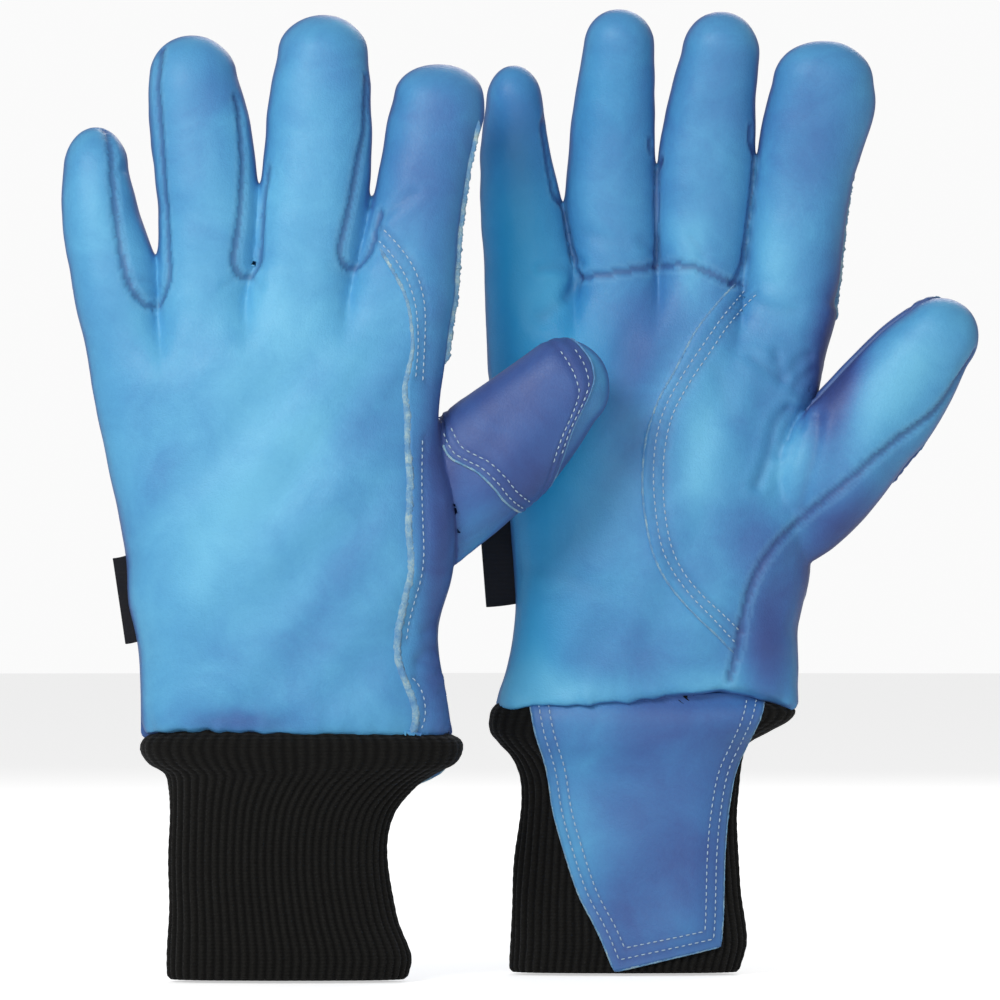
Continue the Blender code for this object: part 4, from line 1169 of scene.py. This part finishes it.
def build_raw_edge(glove, name, line, normals, width, height, pale=1.0):
    """Ragged cut edge of the hide along a line. Width and height are functions of the distance run."""
    run = np.concatenate(([0.0], np.cumsum(np.linalg.norm(np.diff(line, axis=0), axis=1))))
    tangents = np.gradient(line, axis=0)
    tangents /= np.linalg.norm(tangents, axis=1, keepdims=True)
    groups = {}
    for k, point in enumerate(line):
        digit = digit_at(glove, point)
        groups.setdefault(digit, []).append(k)
    for digit, members in groups.items():
        members = list(range(max(0, members[0] - 1), members[-1] + 1))
        if len(members) < 3:
            continue
        points, faces, shade = [], [], []
        count = len(EDGE_PROFILE)
        for k in members:
            side = np.cross(tangents[k], normals[k])
            taper = min(1.0, (run[k] + 0.4) / 2.5, (run[-1] - run[k] + 0.4) / 2.5)
            for j, (across, up) in enumerate(EDGE_PROFILE):
                ragged = noise.noise(Vector((run[k] * 0.8, j * 3.1, 1.7))) + 0.6 * noise.noise(Vector((run[k] * 2.3,
                                                                                                       j * 5.3, 4.2)))
                reach = width(run[k]) / 2 * across * (1 + 0.35 * ragged) * taper
                lift = height(run[k]) * up * taper * (1 + 0.5 * ragged * (up > 0))
                points.append(line[k] + side * reach + normals[k] * lift)
                shade.append(pale * (0.75 + 0.5 * noise.noise(Vector((run[k] * 0.25, 0.0, 9.0)))))
        for row in range(len(members) - 1):
            for j in range(count):
                a, b = row * count + j, row * count + (j + 1) % count
                faces.append((a, a + count, b + count, b))
        faces.append(tuple(range(count)))
        last = (len(members) - 1) * count
        faces.append(tuple(last + j for j in reversed(range(count))))
        make_piece(glove, f"{glove.side}_{name}_{digit or 'hand'}_edge", np.array(points), faces, "edge", digit,
                   {"pale": shade})


def build_seams(skin):
    """Raw edges and rows of stitching of both lap seams, and the flange down the index finger."""
    glove = skin.glove
    for face, label in ((BACK, "back"), (PALM, "palm")):
        source = SOURCE[face]
        line, normals = skin.trace(face, adapt(LAP_EDGE[face], source, glove), 0.5)
        if face == BACK:
            low = (lambda s: 1.3 + 1.5 * float(smoothstep(30, 60, s)))
            build_raw_edge(glove, "back_lap", line, normals, low, lambda s: 0.5 + 0.35 * float(smoothstep(30, 60, s)))
        else:
            build_raw_edge(glove, "palm_lap", line, normals, lambda s: 0.85, lambda s: 0.45, 0.85)
        places = []
        for points in LAP_STITCHES[face]:
            places += stitch_row(*skin.trace(face, adapt(points, source, glove), 0.5))
        build_stitches(glove, f"{label}_lap", places)
    flange = INDEX_OUTSEAM if glove.side == "left" else index_flange(glove)
    line, normals = skin.trace_side(flange, -4.5, 0.5)
    build_raw_edge(glove, "index_flange", line, normals, lambda s: 1.7, lambda s: 1.5)


def index_flange(glove):
    """The outseam's line on the other glove: just inside the index finger's thumb side."""
    rows = glove.pattern["fingers"]["index"][:-1]
    return [(float(smooth_value([(r[0], r[2]) for r in rows], z)) - 2.0, z) for z in (292, 280, 266, 252, 238, 224)]


# Overlays and trims.
# The thumb patch, by angle round the thumb from its back (90 is towards the index finger): where it starts
# and ends along the thumb. Its rows of stitching lie this far inside its edge.
PATCH_START = [(-96, 20), (-58, 17.2), (-35, 17), (-6, 15.8), (14, 13.6), (38, 11.6), (90, 15.5), (112, 18)]
PATCH_END = [(-96, 29), (-76, 38), (-47, 51), (-36, 56.4), (-23, 61.4), (-6, 65.6), (10, 67.2), (35, 68.6), (60, 69),
             (90, 68), (112, 66)]
PATCH_ROWS = (2.0, 5.2)


def grid_faces(rows, columns):
    return [(i * columns + j, i * columns + j + 1, (i + 1) * columns + j + 1, (i + 1) * columns + j)
            for i in range(rows - 1) for j in range(columns - 1)]


def closed_sheet(points, normals, thickness, rows, columns):
    """Two layers of a grid and the strip round its edge: (points, faces)."""
    count = rows * columns
    both = np.concatenate((points, points - normals * thickness))
    top = grid_faces(rows, columns)
    faces = top + [tuple(v + count for v in reversed(f)) for f in top]
    ring = ([j for j in range(columns)] + [i * columns + columns - 1 for i in range(1, rows)]
            + [(rows - 1) * columns + j for j in range(columns - 2, -1, -1)]
            + [i * columns for i in range(rows - 2, 0, -1)])
    for a, b in zip(ring, ring[1:] + ring[:1]):
        faces.append((b, a, a + count, b + count))
    return both, faces


def sheet_between(first, second, rows, columns):
    """Grid of (x, z) points between two side curves."""
    a = curve_points(first, 0.4)
    b = curve_points(second, 0.4)
    v = np.linspace(0, 1, rows)
    ends = [np.stack([np.interp(v * (len(c) - 1), np.arange(len(c)), c[:, k]) for k in range(2)],
                     axis=-1) for c in (a, b)]
    u = np.linspace(0, 1, columns)[None, :, None]
    return ends[0][:, None, :] * (1 - u) + ends[1][:, None, :] * u


def thumb_surface(skin, stations, angles):
    """Points and outward normals of the thumb at distances along it and angles round it."""
    glove = skin.glove
    scale = glove.pattern["thumb"][-1] / SOURCE[BACK].pattern["thumb"][-1]
    on, normals = [], []
    for s, angle in zip(stations, np.radians(angles)):
        centre = glove.thumb_root + s * scale * glove.thumb_axis
        out = math.sin(angle) * glove.thumb_across
        start, way = Vector((centre[0], 6.0, centre[1])), Vector((out[0], -math.cos(angle), out[1]))
        hit, normal, _, _ = skin.tree.ray_cast(start, way, 22.0)
        if hit is None:
            hit, normal = start + way * 15.0, way
        on.append(hit)
        normals.append(normal if normal.dot(way) > 0 else -normal)
    return np.array(on), np.array(normals)


def build_thumb_patch(skin):
    """Patch of darker leather sewn over the back of the thumb, with two rows of stitching."""
    glove = skin.glove
    rows, columns = 72, 60
    angles = np.linspace(-96, 108, columns)
    share = np.linspace(0, 1, rows)[:, None]
    low, high = smooth_value(PATCH_START, angles), smooth_value(PATCH_END, angles)
    stations = low * (1 - share) + high * share
    every_angle = np.broadcast_to(angles, stations.shape)
    on, normals = thumb_surface(skin, stations.ravel(), every_angle.ravel())
    grid, outward = on.reshape(rows, columns, 3), normals.reshape(rows, columns, 3)
    for _ in range(3):
        grid[1:-1, 1:-1] = (grid[:-2, 1:-1] + grid[2:, 1:-1] + grid[1:-1, :-2] + grid[1:-1, 2:]) / 4
        outward[1:-1, 1:-1] = (outward[:-2, 1:-1] + outward[2:, 1:-1] + outward[1:-1, :-2] + outward[1:-1, 2:]) / 4
    outward /= np.linalg.norm(outward, axis=2, keepdims=True)
    from_start, from_end = stations - low, high - stations
    border = np.minimum(np.minimum(from_start, from_end), np.minimum(angles + 96, 108 - angles) * 0.3)
    edge = np.minimum(from_start, from_end * 0.8)
    gap = np.min([np.abs(edge - row) for row in PATCH_ROWS], axis=0)
    lift = 1.15 * (1 - np.exp(-(border + 0.35) / 0.6)) - 0.35 * np.exp(-(gap / 0.8) ** 2)
    points = (grid + outward * lift[..., None]).reshape(-1, 3)
    both, faces = closed_sheet(points, outward.reshape(-1, 3), 1.3, rows, columns)
    cloud = np.array([noise.noise(Vector(p) * 0.07) for p in points])
    tone = 0.17 + 0.05 * np.cos(np.radians(angles - 20)) + 0 * share
    # The stitch rows' grooves get painted shade.
    marks = {"tone": tone.ravel() + 0.05 * cloud, "cyan": np.zeros(len(points)),
             "worn": 0.25 * np.exp(-border / 0.8).ravel(), "crease_and_seam_shade": 0.3 * np.exp(-(gap / 0.7) ** 2).ravel()}
    make_piece(glove, f"{glove.side}_thumb_patch_leather", both, [tuple(reversed(f)) for f in faces], "leather",
               "thumb", {k: np.tile(v, 2) for k, v in marks.items()}, None, ("thumb_patch",))
    places = []
    for inset in PATCH_ROWS:
        for bounds, way in ((PATCH_START, 1), (PATCH_END, -1.25)):
            run = np.linspace(-80 if way > 0 else -62, 60, 60)
            line, normal = thumb_surface(skin, smooth_value(bounds, run) + way * inset, run)
            places += [(m + n * 0.95, d, n, h) for m, d, n, h in stitch_row(*resample(line, normal, 0.5))]
    build_stitches(glove, "thumb_patch", places)
    for name, bounds, high_angle, pale in (("start", PATCH_START, 80, 1.0), ("end", PATCH_END, 95, 0.5)):
        run = np.linspace(-92, high_angle, 90)
        line, normal = resample(*thumb_surface(skin, smooth_value(bounds, run), run), 0.5)
        build_raw_edge(glove, f"thumb_patch_{name}", line + normal * 0.45, normal, lambda s: 0.9, lambda s: 0.55,
                       pale)


# Cuff rows: (height, outer edge, thumb edge, half depth at the back, half depth at the palm).
CUFFS = {
    "left": [(0.9, -41.2, 39.2, 14, 14), (2.5, -41.5, 39.8, 14, 14), (9, -41.5, 40.5, 14, 14),
             (22, -41, 35.6, 13, 13),
             (43, -41, 32.4, 13, 13), (57, -40.6, 35.0, 14, 13.4), (66, -41, 42.6, 16.4, 15),
             (70.5, -42.4, 49.5, 18.6, 16.2),
             (73.5, -47.4, 55.4, 20.2, 17), (78, -50.4, 58.0, 21.0, 17.4), (82, -49.4, 57.0, 20.4, 17.0),
             (85, -45.0, 51.0, 17.2, 15.6), (90, -43.0, 48.0, 15.5, 15)],
    "right": [(0.9, -39.8, 38.6, 14, 14), (2.5, -40, 39, 14, 14), (12, -39.5, 41, 14, 14), (30, -38.8, 38.8, 13, 13),
              (52, -36.5, 37.5, 13, 13), (66, -36.2, 38.4, 14, 13.6), (74, -39.0, 39.6, 16.4, 15),
              (79, -43.2, 41.6, 19, 16.4),
              (83, -46.4, 48.4, 20.4, 17), (87.5, -46.8, 56.4, 21, 17.4), (91.5, -45.4, 57.2, 20.2, 17),
              (94.5, -42.0, 50.0, 17.2, 15.6), (99, -40.0, 47.0, 15.5, 15)],
}
RIBS = 64
CUFF_POWER = 2.5


def cuff_at(side, z):
    rows = CUFFS[side]
    return [float(smooth_value([(r[0], r[k]) for r in rows], z)) for k in range(1, 5)]


def cuff_ring(side, z, turns):
    """Points round the knit tube at one height, at angles from the middle of the back."""
    outer, inner, back, palm = cuff_at(side, z)
    across, depth = rounded(turns, CUFF_POWER)
    x = (outer + inner) / 2 + across * (inner - outer) / 2
    return np.stack((x, np.where(depth < 0, depth * back, depth * palm), np.full(len(turns), z)), axis=-1)


def even_turns(side, z, count):
    """Angles that step evenly round the tube at one height."""
    fine = np.linspace(0, 2 * math.pi, 721)
    ring = cuff_ring(side, z, fine)
    run = np.concatenate(([0.0], np.cumsum(np.linalg.norm(np.diff(ring, axis=0), axis=1))))
    return np.interp(np.arange(count) * run[-1] / count, run, fine)


def build_cuff(glove):
    """Ribbed knit tube with a rolled top and a rounded rim, as an outer and an inner wall."""
    side = glove.side
    around = RIBS * 7
    top = CUFFS[side][-1][0]
    heights = np.concatenate((np.linspace(0.9, 60, 56), np.linspace(60.9, top, 36)))
    phase = np.arange(around) * 2 * math.pi * RIBS / around
    wall = 3.0
    outer_rows, inner_rows, rib_rows = [], [], []
    for z in heights:
        ring = cuff_ring(side, z, even_turns(side, z, around))
        tangent = np.roll(ring, -1, axis=0) - np.roll(ring, 1, axis=0)
        normal = np.stack((-tangent[:, 1], tangent[:, 0], np.zeros(around)), axis=-1)
        normal /= np.linalg.norm(normal, axis=1, keepdims=True)
        if normal[0, 1] > 0:
            normal = -normal
        wander = np.array([noise.noise(Vector((p[0] * 0.12, p[1] * 0.12 + z * 0.012, z * 0.05))) for p in ring[::8]])
        wander = np.interp(np.arange(around), np.arange(0, around, 8), wander)
        loops = 0.07 * np.sin(z * 2 * math.pi / 1.5 + 2.0 * np.sin(phase))
        rib = 0.5 + 0.5 * np.cos(phase + 0.25 * np.sin(z * 0.23))
        fade = 1 - 0.55 * float(smoothstep(66, 76, z if side == "left" else z - 8))
        rim = -0.9 * math.exp(-max(0.0, z - 0.9) / 0.7)
        lift = 0.75 * (rib ** 0.8 - 0.6) * fade + loops * rib + 0.55 * wander + rim
        outer_rows.append(ring + normal * lift[:, None])
        inner_rows.append(ring - normal * (wall + 0.3 * rib + rim)[:, None])
        # The rib mark for the colour is painted shade: low in the channels between the ribs, with less contrast where
        # the ribs flatten towards the top.
        rib_rows.append(0.15 + 0.85 * rib * (0.6 + 0.4 * fade))
    rings = outer_rows + inner_rows[::-1]
    ribs = rib_rows + rib_rows[::-1]
    count = len(rings)
    faces = []
    for i in range(count):
        k = (i + 1) % count
        low, high = i * around, k * around
        for j in range(around):
            m = (j + 1) % around
            faces.append((low + j, low + m, high + m, high + j))
    make_piece(glove, f"{side}_cuff_knit", np.concatenate(rings), faces, "knit", None, {"rib": np.concatenate(ribs)},
               None, ("knit_cuff",))


PULSE_OUTER = [(-4.2, 1.6), (-9.8, 15), (-16.3, 27.5), (-21.4, 42.5), (-25.1, 55.8), (-27.5, 70.4), (-31.4, 83.6),
               (-33.6, 96)]
PULSE_INNER = [(32.2, 10), (33.0, 20.4), (33.7, 42.5), (35.1, 57.1), (37.6, 70), (41.9, 79.6), (45.6, 88), (47.8, 97)]


def cuff_depth(side, x, z):
    """Depth of the palm side of the knit tube at a place."""
    outer, inner, _, palm = cuff_at(side, z)
    q = min(0.985, abs((x - (outer + inner) / 2) / ((inner - outer) / 2)))
    return palm * (1 - q ** CUFF_POWER) ** (1 / CUFF_POWER)


def build_pulse_patch(glove):
    """Leather patch hanging from under the hem over the inside of the wrist."""
    side, source = glove.side, SOURCE[PALM]

    def moved(points):
        if side == source.side:
            return points
        made = []
        for x, z in points:
            outer, inner, _, _ = cuff_at(source.side, z)
            share = (x - outer) / (inner - outer)
            height = z * HEM[side] / HEM[source.side]
            outer, inner, _, _ = cuff_at(side, height)
            made.append((outer + share * (inner - outer), height))
        return made

    rows, columns = 110, 62
    grid = sheet_between(moved(PULSE_OUTER), moved(PULSE_INNER), rows, columns)
    hem = HEM[side]
    x, z = grid[..., 0], grid[..., 1]
    i, j = np.meshgrid(np.arange(rows), np.arange(columns), indexing="ij")
    wide = np.linalg.norm(grid[:, -1] - grid[:, 0], axis=1)[:, None]
    edge_side = np.minimum(j, columns - 1 - j) / (columns - 1) * wide
    low_slope = grid[0, -1, 1] - grid[0, 0, 1]
    edge_low = (z - (grid[0, 0, 1] + low_slope * j / (columns - 1)))
    edge = np.minimum(edge_side, edge_low)
    depth = np.vectorize(lambda a, b: cuff_depth(side, a, b))(x, z)
    swell = 1.3 + 0.9 * np.exp(-((z - hem * 0.45) / 26) ** 2) * np.minimum(1, edge_side / 10)
    wave = np.array([noise.noise(Vector((a * 0.05, b * 0.035, 2.0))) for a,
                     b in zip(x.ravel(), z.ravel())]).reshape(x.shape)
    swell = swell + 0.8 * wave * np.minimum(1, edge / 6)
    rows_gap = np.minimum(np.abs(edge - 3.0), np.abs(edge - 6.3))
    swell -= 0.30 * np.exp(-(rows_gap / 0.8) ** 2)
    swell += 0.25 * np.exp(-((edge - 4.6) / 0.8) ** 2)
    swell -= 0.9 * smoothstep(hem - 6, hem + 3, z)
    points = np.stack((x, depth + swell, z), axis=-1)
    for _ in range(4):
        points[1:-1, :, 1] = (points[:-2, :, 1] + 2 * points[1:-1, :, 1] + points[2:, :, 1]) / 4
        points[:, 1:-1, 1] = (points[:, :-2, 1] + 2 * points[:, 1:-1, 1] + points[:, 2:, 1]) / 4
    du, dv = np.gradient(points, axis=1), np.gradient(points, axis=0)
    normals = np.cross(du, dv)
    normals /= np.linalg.norm(normals, axis=2, keepdims=True)
    normals *= np.where(normals[..., 1:2] < 0, -1.0, 1.0)
    flat, flat_normals = points.reshape(-1, 3), normals.reshape(-1, 3)
    both, faces = closed_sheet(flat, flat_normals, 1.2, rows, columns)
    faces = [tuple(reversed(f)) for f in faces]
    zone = 0.30 + 0.34 * np.exp(-((x + 18 - (z - 60) * 0.1) / 16) ** 2) * np.exp(-((z - 55) / 44) ** 2) + 0.10 * wave
    if side == "right":
        zone = zone + 0.05
    # The stitch rows' grooves get painted shade.
    marks = {"tone": zone.ravel(), "cyan": 0 * x.ravel(), "worn": 0.3 * np.exp(-edge / 0.8).ravel(),
             "crease_and_seam_shade": 0.35 * np.exp(-(rows_gap / 0.6) ** 2).ravel()}
    sheet = make_piece(glove, f"{side}_pulse_patch_leather", both, faces, "leather", None,
                       {k: np.tile(v, 2) for k, v in marks.items()}, None, ("pulse_patch",))
    places = []
    for inset in (3.0, 6.3):
        for line, normal in patch_rows(points, normals, inset):
            places += stitch_row(line, normal)
    build_stitches(glove, "pulse_patch", places)
    border = [(points[:, 0], normals[:, 0]), (points[0], normals[0]), (points[:, -1], normals[:, -1])]
    for number, (line, normal) in enumerate(border):
        even, even_normals = resample(line, normal, 0.5)
        build_raw_edge(glove, f"pulse_patch_{('outer', 'low', 'inner')[number]}", even - even_normals * 0.45,
                       even_normals,
                       lambda s: 0.8, lambda s: 0.6, 0.95)


def resample(line, normals, step):
    run = np.concatenate(([0.0], np.cumsum(np.linalg.norm(np.diff(line, axis=0), axis=1))))
    at = np.linspace(0, run[-1], int(run[-1] / step) + 1)
    made = [np.stack([np.interp(at, run, values[:, k]) for k in range(3)], axis=-1) for values in (line, normals)]
    return made[0], made[1] / np.linalg.norm(made[1], axis=1, keepdims=True)


def patch_rows(points, normals, inset):
    """Lines that run at a distance inside the patch's two sides and lower edge."""
    rows, columns = points.shape[:2]
    wide = np.linalg.norm(points[:, -1] - points[:, 0], axis=1)
    rise = np.cumsum(np.concatenate(([0.0], np.linalg.norm(np.diff(points[:, columns // 2], axis=0), axis=1))))
    first = int(np.searchsorted(rise, inset))
    lines = []
    for share in (inset / wide, 1 - inset / wide):
        at = share * (columns - 1)
        picked = [[np.array([np.interp(at[i], np.arange(columns), grid[i, :, k]) for k in range(3)])
                   for i in range(first, rows - 3)] for grid in (points, normals)]
        lines.append((np.array(picked[0]), np.array(picked[1])))
    low = int(math.ceil(inset / wide[first] * (columns - 1)))
    lines.append((points[first, low:columns - low], normals[first, low:columns - low]))
    return lines


TABS = {"left": (144.0, 29.0, 4.6), "right": (160.0, 33.0, 10.4)}


def build_tab(skin):
    """Folded ribbon label held in the outer seam, left plain."""
    glove = skin.glove
    top, length, reach = TABS[glove.side]
    rows, columns = 40, 16
    points, normals = [], []
    edge = lambda z: float(np.interp(z, [r[0] for r in glove.pattern["outer_edge"]],
                                     [r[1] for r in glove.pattern["outer_edge"]]))
    upper, lower = np.array((edge(top), top)), np.array((edge(top - length), top - length))
    down = (lower - upper) / np.linalg.norm(lower - upper)
    out = np.array((down[1], -down[0]))
    if out[0] > 0:
        out = -out
    for i in range(rows):
        v = i / (rows - 1)
        for j in range(columns):
            u = j / (columns - 1)
            flat = upper + (lower - upper) * v + out * (u * (reach + 1.2) - 1.2)
            flat = flat + down * 0.5 * math.sin(u * 2.0)
            bow = 0.5 * math.sin(v * math.pi) * u + 0.35 * noise.noise(Vector((v * 4, u * 2, 3.0))) - 0.6 * u * u
            points.append((flat[0], bow, flat[1]))
            normals.append((0.0, 1.0, 0.0))
    both, faces = closed_sheet(np.array(points), np.array(normals), 0.9, rows, columns)
    shifted = both + (0.0, 0.45, 0.0)
    hinge = f"{glove.side}_tab_body"
    mesh = bpy.data.meshes.new(f"{glove.side}_label_tab")
    mesh.from_pydata(glove.world(shifted).tolist(), [], faces)
    mesh.materials.append(FINISHES["tab"])
    mesh.shade_smooth()
    mesh.set_sharp_from_angle(angle=math.radians(50))
    piece = bpy.data.objects.new(mesh.name, mesh)
    bpy.context.scene.collection.objects.link(piece)
    bevel = piece.modifiers.new("soft edge", "BEVEL")
    bevel.width = 0.00025
    bevel.segments = 2
    bevel.limit_method = "ANGLE"
    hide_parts(f"{glove.side}_tab")
    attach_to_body(piece, hinge)


def build_glove(side):
    glove = Glove(side)
    skin = Skin(glove, SKIN_VOXEL)
    build_leather(skin)
    build_fleece(glove)
    build_seams(skin)
    build_thumb_patch(skin)
    build_cuff(glove)
    build_pulse_patch(glove)
    build_tab(skin)


def build_studio():
    """Pale floor, soft light from above the camera, and a long lens level with the hands' middle."""
    scene = bpy.context.scene
    floor_mesh = bpy.data.meshes.new("studio_floor")
    reach, segments, points, faces = 6.0, 48, [(0.0, 0.0, 0.0)], []
    for k in range(segments):
        turn = k * 2 * math.pi / segments
        points.append((reach * math.cos(turn), reach * math.sin(turn), 0.0))
        faces.append((0, k + 1, (k + 1) % segments + 1))
    floor_mesh.from_pydata(points, [], faces)
    paper = bpy.data.materials.new("studio_paper")
    paper.use_nodes = True
    shader = paper.node_tree.nodes["Principled BSDF"]
    shader.inputs["Base Color"].default_value = (0.86, 0.86, 0.86, 1)
    shader.inputs["Roughness"].default_value = 0.9
    shader.inputs["Emission Color"].default_value = (1, 1, 1, 1)
    glow = paper.node_tree.nodes.new("ShaderNodeMath")
    glow.operation = "MULTIPLY"
    glow.inputs[1].default_value = FLOOR_GLOW
    seen = paper.node_tree.nodes.new("ShaderNodeLightPath").outputs["Is Camera Ray"]
    paper.node_tree.links.new(seen, glow.inputs[0])
    paper.node_tree.links.new(glow.outputs[0], shader.inputs["Emission Strength"])
    floor_mesh.materials.append(paper)
    floor = bpy.data.objects.new("studio_floor", floor_mesh)
    scene.collection.objects.link(floor)
    world = bpy.data.worlds.new("studio")
    scene.world = world
    world.use_nodes = True
    tree = world.node_tree
    sky = tree.nodes["Background"]
    sky.inputs["Color"].default_value = (1.0, 1.0, 1.0, 1.0)
    seen = tree.nodes.new("ShaderNodeLightPath").outputs["Is Camera Ray"]
    strength = tree.nodes.new("ShaderNodeMapRange")
    strength.inputs["To Min"].default_value = AMBIENT
    strength.inputs["To Max"].default_value = BACKDROP
    tree.links.new(seen, strength.inputs["Value"])
    tree.links.new(strength.outputs[0], sky.inputs["Strength"])
    for name, place, aim, size, power in STUDIO_LIGHTS:
        lamp = bpy.data.lights.new(name, "AREA")
        lamp.shape = "DISK"
        lamp.size = size
        lamp.energy = power
        holder = bpy.data.objects.new(name, lamp)
        holder.location = place
        holder.rotation_euler = (Vector(aim) - Vector(place)).to_track_quat("-Z", "Y").to_euler()
        scene.collection.objects.link(holder)
    lens = bpy.data.cameras.new("camera")
    lens.sensor_width = 36.0
    distance, width = 3.4, 0.340
    lens.angle = 2 * math.atan(width / 2 / distance)
    camera = bpy.data.objects.new("camera", lens)
    camera.location = (CENTRE_X, -distance, CENTRE_Z)
    camera.rotation_euler = (math.pi / 2, 0.0, 0.0)
    scene.collection.objects.link(camera)
    scene.camera = camera
    scene.view_settings.view_transform = "Standard"


CENTRE_X, CENTRE_Z = -0.0087, 0.1625
AMBIENT, BACKDROP, FLOOR_GLOW = 0.34, 0.96, 0.55
STUDIO_LIGHTS = (("key", (-1.0, -1.7, 1.3), (0, 0, 0.18), 0.9, 25), ("front", (0.1, -2.4, 0.5), (0, 0, 0.17), 1.2, 9),
                 ("behind", (0.4, 1.7, 1.3), (0, 0, 0.17), 1.2, 14))

for glove_side in ("left", "right"):
    build_glove(glove_side)
build_studio()
